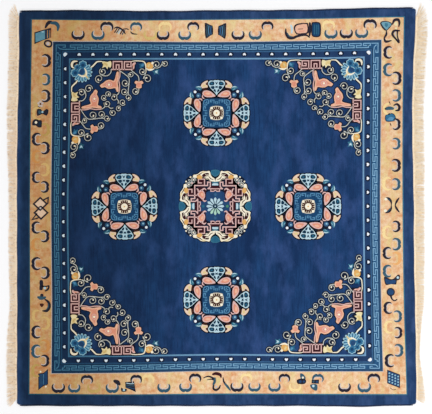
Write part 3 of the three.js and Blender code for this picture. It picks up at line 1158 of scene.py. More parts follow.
cloudLine = [(-x, y, w) for x, y, w in reversed(cloudHalf[1:])] + list(cloudHalf)
cloudPlaces = {}
for side, tracks in clouds.items():
    c, s = cos(sideTurn[side]), sin(sideTurn[side])
    for track, byDye in tracks.items():
        out, turn = cloudTracks[track]
        for dye, alongs in byDye.items():
            for along in alongs:
                spot = (c * along - s * out, s * along + c * out, sideTurn[side] + turn)
                cloudPlaces.setdefault(dye, []).append(spot)
for dye, places in cloudPlaces.items():
    cloud = strokeMotif("cloudOne", [row[:2] for row in cloudLine], [row[2] for row in cloudLine], 2, 2)
    repeated("clouds_" + dye, cloud, places, dye, unevenness=0.08)
gleamLine = [(x * 0.80, y * 0.80 + 1.1) for x, y, w in cloudLine]
gleam = strokeMotif("cloudGleam", gleamLine, [1.1] * len(cloudLine), 1.4, 2)
repeated("cloudGleams", gleam, cloudPlaces["ink"] + cloudPlaces["midBlue"], "lilac", unevenness=0.08)

# Emblems between the clouds, drawn in squares from their own middles, x and y as on the rug

def emblemAt(x, y, turn=0.0, flip=1):
    return motifAt(x, y, turn, flip, drifts=False)


def ribbonBook(place):
    patch("ink", place, [(-8.5, 3.7), (0.0, 6.2), (8.3, 8.3), (8.2, -1.6), (0.0, -4.4), (-8.5, -8.2)], 1, 1)
    patch("bookTeal", place, [(-7.4, 2.8), (2.2, 5.7), (2.2, -3.0), (-7.4, -6.4)], 2, 1)
    patch("ice", place, [(-2.4, 4.2), (1.0, 5.2), (0.6, 3.2)], 3, 1)
    for x, dye in ((3.3, "lineBlue"), (4.6, "apricot"), (5.8, "midBlue"), (7.0, "apricot")):
        stroke(dye, place, [(x, 5.8), (x, -1.8)], 0.8, 2, 1)
    stroke("ink", place, [(2.6, 8.4), (4.6, 12.2), (7.0, 13.8), (9.6, 13.0)], (1.8, 3.2, 3.4, 2.6), 2)
    stroke("midBlue", place, [(8.6, 13.0), (12.6, 12.8), (15.2, 10.0), (14.8, 5.4)], (2.6, 3.6, 3.4, 1.4), 3)
    stroke("ink", place, [(2.4, -5.4), (2.0, -8.4), (5.0, -10.6), (8.0, -10.0), (8.6, -6.4), (5.6, -4.6)], 1.7, 2, closed=True)
    disc("lilac", place, (5.0, -7.6), 1.8, 3, 10)


def halfDrum(place):
    patch("ink", place, [
        (-4.4, 7.8), (-2.2, 7.6), (0.2, 6.2), (3.6, 5.0), (4.3, 1.0), (4.0, -3.8), (1.2, -5.2), (-1.0, -7.0),
        (-3.2, -8.2), (-4.2, -4.0),
    ], 1, 1)
    stroke("midBlue", place, [(-1.6, 5.6), (-2.2, 0.4), (-1.6, -5.6)], 1.1, 2)
    stroke("hookBlue", place, [(0.0, 4.8), (-0.5, 0.4), (0.1, -4.6)], 0.9, 2)
    stroke("lineBlue", place, [(2.0, 4.0), (1.6, 0.2), (2.0, -3.6)], 1.4, 2)


def stripedLeaf(place):
    for i, dye in enumerate(("ink", "midBlue", "ice", "ink", "midBlue")):
        x = -4.4 + 1.9 * i
        stroke(dye, place, [(x, -1.0 - 0.5 * i), (x + 1.6, 1.4 - 0.4 * i), (x + 2.6, 3.4 - 0.6 * i)], 1.1, 2)
    stroke("ink", place, [(-4.8, 3.0), (-2.0, 4.2), (1.6, 2.8), (4.6, 0.4), (6.2, -2.4)], (0.9, 1.5, 1.7, 1.6, 1.0), 3)
    stroke("ink", place, [(4.0, 2.2), (7.4, 2.6), (9.6, 1.8)], (0.8, 1.2, 0.7), 2)
    stroke("ink", place, [(11.6, -0.4), (13.6, -2.2), (18.0, -2.8)], (1.0, 1.4, 0.8), 2)


def wrappedScroll(place):
    stroke("ink", place, [
        (-15.2, 0.6), (-15.0, -4.0), (-12.4, -7.8), (-8.6, -8.6), (-4.0, -6.8), (1.4, -5.6), (5.6, -5.8), (8.4, -8.0),
    ], (1.3, 2.6, 3.2, 2.8, 2.6, 2.2, 2.0, 1.1), 1)
    stroke("midBlue", place, [(-13.8, -3.4), (-11.8, -6.6), (-8.6, -7.2)], (0.9, 1.4, 0.8), 2)
    stroke("ice", place, [(-10.0, 4.2), (-9.0, 0.6), (-9.4, -3.4)], (1.6, 2.0, 1.4), 2)
    patch("ink", place, [
        (-7.4, 1.0), (-6.0, 4.8), (-1.0, 6.4), (4.8, 6.6), (7.2, 5.8), (7.6, -3.6), (2.0, -4.8), (-4.6, -5.0),
    ], 1, 2)
    patch("salmonPale", place, [(-6.0, 0.8), (-4.6, 3.8), (-0.6, 5.0), (5.8, 5.2), (6.0, -2.6), (1.8, -3.6), (-4.0, -3.8)], 2, 2)
    stroke("brown", place, [(-2.8, 0.4), (1.6, 0.6)], 0.8, 3, 1)
    stroke("salmon", place, [(-1.6, -1.8), (3.2, -1.4)], 0.9, 3, 1)
    stroke("ink", place, [(8.7, 6.4), (9.0, 0.0), (8.4, -6.4)], (2.0, 2.8, 1.6), 2)
    patch("ink", place, [(10.2, 6.0), (12.6, 7.6), (17.8, 7.4), (19.8, 4.6), (19.8, -4.8), (17.6, -7.6), (12.8, -7.6), (10.2, -5.0)], 1, 2)
    patch("squareTeal", place, [(11.3, 5.4), (13.2, 6.4), (17.2, 6.2), (18.6, 4.0), (18.6, -4.2), (17.0, -6.4), (13.4, -6.4), (11.3, -4.4)], 2, 2)
    for x in (13.2, 15.2, 17.0):
        stroke("edgeTeal", place, [(x, 4.6), (x, -4.6)], 0.8, 3, 1)


def fanWithRibbons(place):
    patch("ink", place, [(-5.8, 2.4), (-3.0, 4.8), (3.2, 4.2), (6.6, 1.4), (3.4, -2.8), (0.4, -5.4), (-3.4, -2.6)], 1, 2)
    patch("bookTeal", place, [(-4.4, 1.9), (-2.4, 3.9), (3.0, 3.5), (5.7, 1.1), (2.8, -2.1), (0.5, -4.3)], 2, 2)
    patch("edgeTeal", place, [(-1.4, 2.2), (1.6, 2.6), (2.2, 0.4), (0.2, -1.6)], 3, 2)
    stroke("ink", place, [(0.6, -5.4), (0.6, -8.6), (-1.4, -12.6), (0.2, -15.8), (5.6, -14.8)], (1.1, 2.2, 1.7, 2.6, 1.0), 2)
    stroke("ink", place, [(6.6, 1.4), (8.6, 5.4), (12.2, 6.0), (13.6, 3.0), (13.0, -0.8)], (1.3, 2.6, 2.8, 2.2, 1.2), 2)
    patch("straw", place, [(8.6, 3.2), (11.2, 3.6), (11.6, 0.4), (8.8, 0.0)], 3, 2)
    disc("straw", place, (10.2, -2.6), 1.3, 3, 8)
    stroke("ink", place, [(13.6, -5.0), (8.6, -5.0), (6.6, -8.6), (9.8, -13.0), (13.0, -16.6)], (1.7, 2.2, 2.4, 1.8, 2.2), 2)
    stroke("ink", place, [(11.6, -5.4), (11.6, -10.6), (13.2, -15.4)], (1.6, 1.3, 1.8), 2)
    stroke("lilac", place, [(9.4, -6.4), (9.8, -10.4)], 1.2, 3, 1)


def blossomAndBow(place):
    # Pink blossom over a bow, then a cap with a pale stone
    for i in range(5):
        a = 2 * pi * i / 5 + 0.3
        disc("lilac", place, (2.0 * cos(a), 8.6 + 2.3 * sin(a)), 1.25, 2, 8)
    disc("maroon", place, (0.0, 8.6), 0.9, 3, 8)
    stroke("brown", place, [(-2.4, 6.0), (-0.6, 5.2)], 0.9, 3, 1)
    patch("ink", place, [(-3.4, 3.2), (0.4, 3.6), (2.4, 1.0), (5.8, 3.8), (8.2, 2.0), (6.2, -3.2), (2.0, -1.2), (-3.2, -3.4)], 2, 2)
    patch("midBlue", place, [(-2.0, 1.8), (0.2, 2.0), (0.6, -0.8), (-1.8, -1.4)], 3, 2)
    disc("ice", place, (2.0, 0.6), 1.1, 4, 8)
    patch("ink", place, [(-8.2, -12.6), (-7.6, -8.2), (-4.6, -6.2), (-1.0, -7.6), (1.4, -8.0), (1.2, -14.4), (-2.4, -14.6), (-4.6, -12.8)], 2, 2)
    disc("cream", place, (-4.4, -9.8), 1.4, 3, 8)
    patch("deepTeal", place, [(-1.6, -9.4), (0.4, -9.6), (0.2, -12.8), (-1.8, -12.4)], 3, 1)


def endlessKnot(place):
    for x, y in ((0.0, 4.2), (0.8, -4.6)):
        line = [(x, y + 6.2), (x + 6.6, y), (x, y - 6.2), (x - 6.6, y)]
        patch("peach", place, [(x + (a - x) * 0.8, y + (b - y) * 0.8) for a, b in line], 1, 1)
        stroke("ink", place, line, 1.6, 2, 1, True)
    stroke("ink", place, [(3.0, 8.0), (8.0, 10.6), (7.6, 4.8)], 1.4, 2, 1)
    stroke("ink", place, [(-3.4, -5.4), (-8.0, -11.4), (-2.2, -9.8)], 1.5, 2, 1)
    disc("ink", place, (0.2, 0.0), 2.2, 3, 8)
    disc("lilac", place, (0.2, 0.0), 1.1, 4, 8)


def spoutAndCrest(place):
    patch("ink", place, [(-2.0, 5.2), (1.0, 5.4), (1.6, 1.8), (1.4, -1.6), (0.6, -4.4), (-2.2, -4.0), (-2.0, 0.4)], 2, 2)
    stroke("ink", place, [(0.6, -0.6), (4.2, -0.8), (7.2, -0.2), (6.2, -3.6), (3.6, -5.2)], (1.8, 1.4, 1.4, 2.0, 1.4), 2)
    disc("ice", place, (3.2, -2.4), 1.3, 3, 8)
    disc("ink", place, (0.2, -9.6), 1.8, 2, 8)
    patch("midBlue", place, [(-4.8, -11.0), (-1.6, -10.4), (0.6, -10.8), (3.4, -10.6), (4.6, -11.4), (2.6, -13.6), (-1.8, -14.0)], 3, 2)
    stroke("ink", place, [(3.4, -13.6), (6.8, -16.4), (7.6, -20.8), (5.2, -24.8), (1.0, -25.0)], (1.4, 2.6, 3.2, 3.0, 1.2), 2)
    stroke("midBlue", place, [(6.4, -17.6), (6.6, -21.2), (4.6, -23.8)], (0.8, 1.3, 0.8), 3)
    patch("brown", place, [(-2.0, -18.2), (0.2, -17.6), (2.2, -18.2), (1.6, -20.2), (0.2, -21.4), (-1.2, -20.2)], 2, 2)


def closedBook(place):
    patch("ink", place, [(-5.1, 5.9), (0.1, 6.5), (4.8, 10.6), (4.8, -5.1), (0.0, -6.8), (-5.1, -10.9)], 1, 1)
    patch("royal", place, [(-4.3, 5.2), (-0.3, 5.6), (-0.3, -6.2), (-4.3, -9.0)], 2, 1)
    patch("royal", place, [(0.7, 6.2), (4.0, 8.8), (4.0, -4.6), (0.7, -6.0)], 2, 1)
    for x, tall, dye in ((-3.2, 5.0, "midBlue"), (-1.4, 5.4, "midBlue"), (0.2, 5.6, "hookBlue"), (2.3, 6.4, "lineBlue")):
        stroke(dye, place, [(x, tall - 0.6), (x, 0.6 - tall)], 0.6, 3, 1)
    disc("cream", place, (-2.8, 7.6), 1.0, 2, 8)
    disc("cream", place, (2.4, -7.2), 1.0, 2, 8)


def beanAndBell(place):
    stroke("midBlue", place, [(-4.6, 8.4), (-1.0, 9.0), (2.6, 8.6)], (2.8, 3.6, 2.6), 2)
    stroke("ink", place, [(3.4, 11.8), (6.6, 13.0), (9.0, 10.4), (8.2, 7.2), (5.2, 6.6)], (1.2, 2.2, 2.6, 2.4, 1.2), 2)
    disc("lilac", place, (5.2, 9.8), 1.5, 3, 10)
    stroke("brown", place, [(-1.0, 15.4), (-0.2, 12.6)], 0.9, 2, 1)
    patch("ink", place, [(-5.6, -1.8), (-4.6, 2.6), (-1.0, 4.4), (3.2, 3.6), (5.4, 0.4), (5.0, -3.4), (1.6, -4.4), (-3.6, -4.6)], 1, 2)
    patch("petalBlue", place, [
        (-5.0, -1.6), (-4.0, 2.2), (-0.8, 3.8), (2.8, 3.0), (4.8, 0.2), (4.4, -2.9), (1.4, -3.9), (-3.4, -4.1),
    ], 2, 2)
    patch("hookBlue", place, [(-3.6, -2.6), (0.0, 0.4), (3.2, -0.4), (3.0, -2.6), (0.6, -3.2)], 3, 2)
    stroke("brown", place, [(-0.2, -6.2), (0.6, -8.2)], 0.9, 2, 1)


def clappers(place):
    # Two bent rods back to back
    stroke("ink", place, [(-6.0, 7.4), (-3.0, 6.4), (-1.0, 3.4), (-0.8, 0.0), (-1.0, -3.4), (-3.0, -6.2), (-6.4, -7.6)],
           (1.0, 2.4, 2.0, 0.9, 2.0, 2.6, 1.2), 2)
    stroke("midBlue", place, [(-4.2, 6.2), (-2.2, 4.2)], 1.0, 3, 1)
    stroke("midBlue", place, [(-2.0, -3.6), (-4.4, -6.2)], 1.3, 3, 1)
    disc("cream", place, (-6.2, 6.0), 1.5, 3, 10)
    disc("cream", place, (-6.6, -5.6), 1.5, 3, 10)
    stroke("ink", place, [(7.0, 7.2), (4.8, 4.0), (3.2, 0.2), (4.4, -3.2), (7.0, -6.8)], (1.0, 2.2, 1.2, 2.2, 1.2), 2)


def vaseAndGourd(place):
    patch("ink", place, [
        (-7.0, 4.6), (-5.0, 5.4), (-0.8, 3.0), (3.0, 3.6), (6.8, 7.4), (9.2, 6.4), (8.8, 2.4), (6.0, 1.2), (5.4, -2.6),
        (0.4, -2.2), (-4.8, -3.2), (-6.4, 0.4),
    ], 1, 2)
    patch("royal", place, [(-5.6, 3.6), (-0.6, 1.6), (4.4, 2.2), (4.2, -1.6), (-4.4, -1.8)], 2, 2)
    disc("ice", place, (6.9, 4.4), 1.3, 3, 8)
    disc("ink", place, (-0.2, -10.0), 4.3, 1, 18)
    disc("royal", place, (-0.2, -10.0), 3.1, 2, 16)
    stroke("ink", place, [(-0.2, -13.6), (1.2, -17.0), (3.6, -18.6), (6.0, -17.4)], (2.4, 1.5, 1.3, 1.2), 2)


def chequerBoard(place):
    patch("ink", place, [(-6.6, 9.2), (6.4, 4.2), (6.4, -9.4), (-6.6, -4.5)], 1, 1)
    patch("royal", place, [(-5.9, 8.1), (5.7, 3.7), (5.7, -8.3), (-5.9, -4.0)], 2, 1)
    for i in range(4):
        for j in range(4):
            x = -4.3 + 2.9 * i
            disc("petalRim", place, (x, 5.5 - 0.38 * (x + 4.3) - 2.8 * j), 0.95, 3, 8)
    stroke("brown", place, [(-3.6, -9.0), (-0.6, -11.0), (2.2, -10.4)], 0.6, 1)


def drumAndHammer(place):
    stroke("ink", place, [(-16.2, 5.6), (-13.2, 4.2), (-11.4, 2.4)], (3.0, 4.4, 3.0), 2)
    patch("ink", place, [(-5.6, 4.6), (0.0, 5.0), (3.4, 5.4), (4.2, 0.4), (5.2, -5.6), (0.4, -3.4), (-5.4, -1.0)], 1, 1)
    stroke("ice", place, [(-4.2, 3.4), (0.0, 2.8), (3.0, 3.0)], 0.9, 2)
    stroke("midBlue", place, [(-4.6, 1.4), (0.0, 0.8), (3.4, 0.6)], 1.0, 2)
    stroke("lineBlue", place, [(-4.4, -0.2), (0.0, -1.4), (3.8, -2.2)], 0.9, 2)
    patch("ink", place, [(-9.6, -0.8), (-7.2, -2.4), (-4.0, -2.0), (-4.6, -5.0), (-9.4, -5.0)], 1, 2)
    disc("ice", place, (-6.8, -3.4), 1.2, 3, 8)


def blossomBranch(place):
    stroke("ink", place, [(-10.8, 3.0), (-5.8, 4.6), (0.4, 2.0)], (0.9, 1.5, 2.0), 2)
    stroke("ink", place, [(-7.2, 1.0), (-3.0, 1.8), (0.6, 0.4)], (0.7, 1.2, 1.6), 2)
    stroke("maroon", place, [(-1.6, 6.6), (1.6, 7.4), (5.6, 6.2), (6.6, 3.6)], (2.0, 3.0, 2.8, 1.4), 2)
    stroke("midBlue", place, [(0.4, 3.0), (0.2, -0.8), (-1.2, -3.4)], (1.6, 2.6, 1.8), 3)
    patch("yellow", place, [(2.0, 3.4), (5.2, 3.0), (5.4, -1.4), (2.6, -2.6)], 2, 2)
    stroke("ink", place, [(-0.8, -3.6), (-1.0, -7.6), (1.6, -9.0), (4.6, -7.2), (5.8, -4.4)], (1.6, 2.0, 2.2, 1.8, 1.2), 2)
    disc("lilac", place, (1.8, -5.8), 1.3, 3, 8)
    stroke("ink", place, [(8.6, 3.4), (9.2, -0.4), (11.0, -3.4)], (0.9, 1.6, 2.0), 2)
    stroke("midBlue", place, [(10.6, -2.8), (13.0, -5.6), (15.8, -9.2)], (1.8, 2.4, 1.4), 3)


def knotAndCoins(place):
    patch("midBlue", place, [(-1.6, 6.8), (1.6, 6.2), (4.0, 2.6), (3.0, 0.6), (-0.8, 1.4)], 2, 2)
    disc("cream", place, (1.2, 2.8), 1.2, 3, 8)
    patch("ink", place, [(-5.0, 0.0), (-1.8, 1.6), (3.2, 1.4), (4.6, -1.0), (2.8, -3.6), (-3.6, -3.6)], 2, 2)
    disc("royal", place, (-1.4, -1.2), 1.5, 3, 8)
    disc("royal", place, (2.2, -1.2), 1.2, 3, 8)
    patch("ink", place, [(10.0, 0.6), (17.4, 0.8), (17.2, -3.4), (9.8, -3.0)], 2, 1)
    disc("midBlue", place, (11.8, -1.2), 1.1, 3, 8)
    disc("royal", place, (15.2, -1.4), 1.2, 3, 8)
    patch("midBlue", place, [(8.4, -4.6), (12.0, -3.6), (15.6, -4.4), (15.4, -9.8), (12.8, -10.0), (9.4, -7.6)], 2, 2)
    disc("ice", place, (11.6, -5.6), 1.4, 3, 8)


drawing["part"] = "emblem"
emblems = (
    (ribbonBook, -172.8, 170.7), (stripedLeaf, -97.0, 175.3), (halfDrum, -7.4, 176.1), (wrappedScroll, 84.2, 177.2),
    (fanWithRibbons, 168.5, 181.0), (blossomAndBow, -175.2, 94.5), (endlessKnot, -175.4, -0.6),
    (spoutAndCrest, -174.0, -77.8), (closedBook, -172.3, -171.0), (beanAndBell, 173.1, 89.9),
    (clappers, 174.8, 2.4), (vaseAndGourd, 173.6, -74.1), (chequerBoard, 176.4, -170.4),
    (drumAndHammer, -85.3, -178.2), (blossomBranch, -2.0, -172.6), (knotAndCoins, 84.8, -172.0),
)
for draw, x, y in emblems:
    draw(emblemAt(x, y))
halfDrum(emblemAt(5.5, 175.8, pi, -1))
print("rug: border emblems drawn")

# Medallions

def spiral(centre, radius, start, turns=1.35, hand=1, steps=22):
    # A hook that winds in to its own middle
    points = []
    for i in range(steps + 1):
        t = i / steps
        r = radius * (1 - 0.66 * t ** 1.5)
        a = start + hand * 2 * pi * turns * t
        points.append((centre[0] + r * cos(a), centre[1] + r * sin(a)))
    return points


def corners(place):
    # The four quarter turns of a place
    return [inside(place, turn=quarter * pi / 2) for quarter in range(4)]


def eighths(place):
    return [inside(quarter, flip=flip) for quarter in corners(place) for flip in (1, -1)]


def swapped(place):
    # The same motif on the other side of the diagonal
    return lambda point: place((point[1], point[0]))


def roundedBox(across, up, power, steps):
    # An oval squared up by its power, down to a box with round corners
    ring = []
    for i in range(steps):
        c, s = cos(2 * pi * (i + 0.5) / steps), sin(2 * pi * (i + 0.5) / steps)
        ring.append((across * (1 if c > 0 else -1) * abs(c) ** power, up * (1 if s > 0 else -1) * abs(s) ** power))
    return ring


def fanAndLeaves(quarter):
    # An ice fan at the rim, its tip to the middle, with dark cells on top
    patch("ice", quarter, mirrored([
        (0, 18.2), (1.5, 20.4), (3.8, 22.8), (5.8, 24.8), (7.4, 27.2), (8.7, 29.6), (8.0, 32.2), (5.6, 33.4),
        (3.6, 33.0), (1.9, 33.8), (0, 33.6),
    ]), 2, 2, "nearBlack")
    for side in (quarter, inside(quarter, turn=pi, flip=-1)):
        patch("deepTeal", side, [(2.5, 32.0), (2.4, 28.9), (4.4, 28.2), (7.2, 28.6), (7.5, 30.4), (5.6, 32.2)], 3, 2)
        patch("teal", side, [(3.8, 30.9), (4.2, 29.3), (6.2, 29.5), (5.8, 31.0)], 4, 2)
        patch("deepTeal", side, [(2.2, 27.5), (2.0, 25.4), (4.0, 24.1), (6.3, 26.6), (4.6, 27.6)], 3, 2)
        patch("deepTeal", side, [(0.8, 23.4), (0.7, 20.9), (3.4, 23.2), (2.0, 24.7)], 3, 2)
    patch("deepTeal", quarter, [(-1.7, 32.6), (-0.5, 29.1), (0.5, 29.1), (1.7, 32.6), (0, 31.0)], 3, 1)
    patch("deepTeal", quarter, [(-1.3, 28.2), (0, 27.4), (1.3, 28.2), (1.2, 25.2), (0, 25.9), (-1.2, 25.2)], 3, 1)


def tearAndLeaf(eighth):
    # A peach leaf that follows the rim, notched on its inner side
    patch("peach", eighth, [
        (8.6, 33.2), (11.0, 32.9), (13.4, 31.6), (15.4, 29.6), (16.2, 27.2), (15.6, 25.2), (13.6, 25.4),
        (11.4, 25.8), (9.0, 26.2), (9.2, 28.0), (9.8, 30.6),
    ], 2, 2, "nearBlack")
    patch("brown", eighth, [(9.3, 31.4), (9.0, 29.4), (10.2, 28.6), (11.2, 29.4), (10.6, 31.0)], 3, 2)
    patch("yellow", eighth, [(10.2, 27.6), (12.4, 26.8), (14.4, 27.0), (13.6, 29.0), (12.0, 29.0)], 3, 2)
    stroke("brown", eighth, [(9.4, 24.7), (11.6, 24.5), (14.2, 24.4)], (0.8, 1.5, 0.7), 3)
    # Teardrop, point inwards, with a claw at the round end
    patch("pink", eighth, [
        (0.9, 17.2), (4.6, 16.2), (9.4, 16.1), (12.8, 17.0), (14.6, 19.4), (13.8, 22.2), (10.6, 23.3),
        (6.4, 22.3), (3.2, 20.0),
    ], 2, 2, "nearBlack")
    patch("salmon", eighth, [
        (4.0, 18.1), (6.4, 17.3), (9.6, 17.2), (12.2, 18.1), (13.3, 19.7), (12.4, 21.5), (9.8, 22.2), (6.8, 21.0),
    ], 3, 2)
    patch("salmonPale", eighth, [(6.4, 19.2), (8.8, 18.6), (11.4, 19.5), (10.9, 20.9), (8.8, 21.2), (7.0, 20.5)], 4, 2)
    stroke("pink", eighth, [(14.4, 18.0), (14.2, 15.8), (12.6, 14.8)], (0.9, 1.3, 0.6), 3)
    stroke("maroon", eighth, [(13.2, 17.4), (12.6, 16.2)], (1.3, 0.7), 4)


def bat(quarter):
    disc("nearBlack", quarter, (19.0, 19.4), 4.2, 1.5, 14)
    disc("lineBlue", quarter, (18.0, 18.5), 2.5, 3, 14)
    disc("petalRim", quarter, (17.7, 18.8), 1.1, 4, 8)
    for wing in (quarter, swapped(quarter)):
        patch("edgeTeal", wing, [
            (14.9, 25.0), (16.4, 22.9), (18.6, 23.8), (20.4, 24.9), (22.0, 26.2), (20.4, 27.4), (17.8, 27.8), (15.6, 27.0),
        ], 2, 2)
        stroke("ice", wing, [(16.0, 26.4), (18.0, 26.9), (20.4, 26.6)], (0.8, 1.1, 0.6), 3)
        stroke("petalRim", wing, [(17.4, 24.0), (18.8, 24.9)], (0.8, 0.5), 3)
    disc("nearBlack", quarter, (21.6, 22.0), 2.3, 4, 12)
    disc("pearl", quarter, (21.6, 22.0), 1.5, 5, 10)


def sideMedallion(x, y, turn=0.0):
    place = motifAt(x, y, turn, size=0.972, drifts=False)
    disc("nearBlack", place, (0, 0), 30.4, 1, 64)
    for quarter in corners(place):
        fanAndLeaves(quarter)
    for eighth in eighths(place):
        tearAndLeaf(eighth)
    for quarter in corners(place):
        bat(quarter)
    # Rounded square with hooked lines
    square = roundedBox(14.6, 14.9, 0.44, 48)
    patch("nearBlack", place, [(x * 1.06, y * 1.06) for x, y in square], 2, 1)
    patch("squareTeal", place, square, 3, 1)
    for eighth in eighths(place):
        stroke("hookBlue", eighth, [(2.6, 10.0), (2.6, 13.2), (6.4, 13.2), (6.4, 11.4), (4.6, 11.4)], 1.0, 4, 1)
        stroke("hookBlue", eighth, [(8.2, 13.4), (8.2, 10.0), (10.2, 10.0), (10.2, 11.8)], 1.0, 4, 1)
        stroke("hookBlue", eighth, [(0, 9.8), (0.9, 9.8), (0.9, 11.6), (0, 11.6)], 0.8, 4, 1)
    for quarter in corners(place):
        stroke("hookBlue", quarter, [(9.4, 13.4), (11.4, 13.2), (12.9, 12.3), (13.6, 10.6), (13.5, 8.2)], 1.0, 4, 3)
    disc("guardNavy", place, (0, 0), 9.0, 4, 32)
    rosette = roundedBox(7.1, 7.1, 0.7, 32)
    patch("cream", place, [(x * 1.02, y * 1.02) for x, y in rosette], 5, 1)
    patch("brown", place, [(x * 0.94, y * 0.94) for x, y in rosette], 6, 1)
    for i in range(16):
        ray = inside(place, turn=2 * pi * i / 16)
        stroke("cream", ray, [(4.7, 0), (6.5, 0)], (0.4, 0.6), 7, 1)
    for quarter in corners(place):
        disc("cream", quarter, (5.0, 5.0), 1.5, 8, 8)
    disc("cream", place, (0, 0), 3.4, 8, 18)
    disc("gold", place, (0, 0), 0.9, 9, 8)


def centreMedallion(x, y):
    place = motifAt(x, y, drifts=False)
    disc("nearBlack", place, (0, 0), 34.2, 1, 72)
    disc("royal", place, (0, 0), 16.4, 2, 40)
    # Flower at the heart
    disc("deepTeal", place, (0, 0), 7.4, 3, 28)
    for i in range(12):
        ray = inside(place, turn=2 * pi * i / 12 + pi / 2)
        petal = [(2.4, -0.35), (4.8, -0.85), (7.0, -1.4), (8.9, 0), (7.0, 1.4), (4.8, 0.85), (2.4, 0.35)]
        patch("mint" if 4 < i < 8 else "ice", ray, petal, 4, 2, "nearBlack")
    disc("deepTeal", place, (0, 0), 2.3, 5, 14)
    disc("ice", place, (0, 0), 0.8, 6, 8)
    for spot, dye in (((-12.0, 0), "teal"), ((12.0, 0), "greenDot"), ((0, 11.7), "lineBlue"), ((0, -11.7), "lineBlue")):
        disc("guardNavy", place, spot, 2.4, 3, 10)
        disc(dye, place, spot, 1.5, 4, 10)
    for sx in (1, -1):
        for sy in (1, -1):
            # Salmon blooms with horns, alike left and right, top and bottom
            bloom = lambda point, sx=sx, sy=sy: place((point[0] * sx, point[1] * sy))
            patch("maroon", bloom, [
                (9.4, 7.4), (12.0, 4.6), (16.0, 5.8), (19.4, 8.8), (19.6, 15.0), (17.2, 18.8), (12.6, 19.0), (9.4, 17.0),
            ], 3, 2)
            stroke("pink", bloom, [(9.0, 5.6), (10.6, 5.0), (12.2, 6.4)], (0.8, 1.5, 1.6), 4)
            stroke("pink", bloom, [(9.2, 16.4), (11.0, 17.6), (13.4, 16.0)], (0.8, 1.5, 1.7), 4)
            stroke("pink", bloom, [(18.6, 17.4), (17.4, 16.8), (16.6, 14.2)], (0.7, 1.4, 1.4), 4)
            patch("pink", bloom, [
                (10.0, 11.2), (10.6, 8.2), (12.6, 6.2), (14.4, 7.8), (16.8, 9.8), (18.2, 11.2), (17.0, 13.8),
                (14.8, 16.4), (11.6, 15.2),
            ], 4, 2)
            patch("salmon", bloom, [
                (11.0, 11.2), (11.5, 8.8), (12.8, 7.6), (14.4, 9.2), (16.6, 11.2), (15.8, 13.4), (14.0, 15.0),
                (12.0, 14.0),
            ], 5, 2)
            patch("salmonPale", bloom, [(11.6, 11.4), (12.4, 9.6), (13.8, 10.6), (14.4, 12.4), (12.8, 13.4)], 6, 2)
            stroke("pink", bloom, [(17.4, 11.0), (20.6, 10.8)], 1.1, 4, 1)
    for quarter in corners(place):
        # Pink square frame with spiral hooks outside
        stroke("pink", quarter, [(20.6, 7.6), (20.6, 20.4), (7.6, 20.4)], 1.2, 4, 1)
        for arm in (quarter, swapped(quarter)):
            patch("maroon", arm, [(9.6, 21.2), (18.0, 21.2), (18.0, 28.0), (9.6, 28.0)], 2, 1)
            stroke("pink", arm, [(10.7, 20.6), (10.7, 27.0), (16.8, 27.0), (16.8, 23.2), (13.6, 23.2)], 1.15, 3, 1)
            stroke("pink", arm, [(7.6, 20.4), (7.6, 24.0), (4.9, 24.0), (4.9, 19.6), (7.0, 17.5)], 1.15, 3, 1)
            # Cream leaves curl from the teal to the gold patches round a dark eye
            patch("cream", arm, [
                (0, 24.3), (2.0, 24.6), (5.2, 25.0), (6.8, 26.6), (9.8, 27.2), (9.6, 28.6), (13.2, 28.8), (16.6, 28.4),
                (19.2, 28.2), (22.2, 29.0), (21.6, 31.2), (18.8, 31.6), (16.6, 32.6), (14.4, 34.4), (11.6, 35.0),
                (8.6, 34.6), (6.0, 35.2), (4.9, 33.2), (4.4, 31.0), (2.6, 28.8), (0.8, 27.6),
            ], 3, 2, "nearBlack")
            patch("maroon", arm, [
                (6.3, 32.8), (6.4, 30.4), (9.2, 29.7), (12.4, 28.8), (13.2, 30.8), (11.6, 32.4), (8.8, 33.2),
            ], 4, 2)
            stroke("cream", arm, [(6.8, 31.2), (8.8, 31.0), (9.8, 31.8)], (0.9, 0.8, 0.4), 5)
            stroke("brown", arm, [(1.8, 26.4), (4.4, 27.4), (6.4, 29.6)], (0.5, 1.0, 0.8), 4)
            stroke("brown", arm, [(5.0, 25.4), (7.2, 27.4), (9.6, 28.0)], (0.5, 0.8, 0.4), 4)
            stroke("brown", arm, [(13.0, 33.6), (14.8, 32.2), (18.4, 30.4)], (0.4, 0.9, 0.6), 5)
            patch("yellow", arm, [(8.4, 34.2), (11.2, 33.6), (13.2, 32.6), (13.6, 33.8), (11.4, 34.6)], 4, 2)
            patch("gold", arm, [(12.8, 28.8), (14.4, 26.8), (17.0, 27.2), (18.6, 28.8), (17.4, 31.0), (14.8, 31.2)], 4.5, 2)
        # Small hooks and dots on black in the corner
        disc("nearBlack", quarter, (23.2, 23.4), 6.9, 1, 20)
        for arm in (quarter, swapped(quarter)):
            stroke("vine", arm, spiral((26.2, 21.8), 2.5, pi * 1.4, 0.9), 0.6, 3)
            stroke("vine", arm, [(23.4, 23.2), (24.2, 25.6), (26.4, 26.6)], 0.6, 3)
            stroke("vine", arm, spiral((22.0, 24.6), 1.7, pi * 0.6, 0.9), 0.5, 3)
            disc("lilac", arm, (20.8, 27.2), 0.7, 4, 8)
            disc("cream", arm, (26.4, 21.8), 0.8, 4, 8)
            disc("cream", arm, (29.0, 24.6), 0.9, 4, 8)
        disc("pink", quarter, (23.0, 23.0), 1.0, 4, 8)
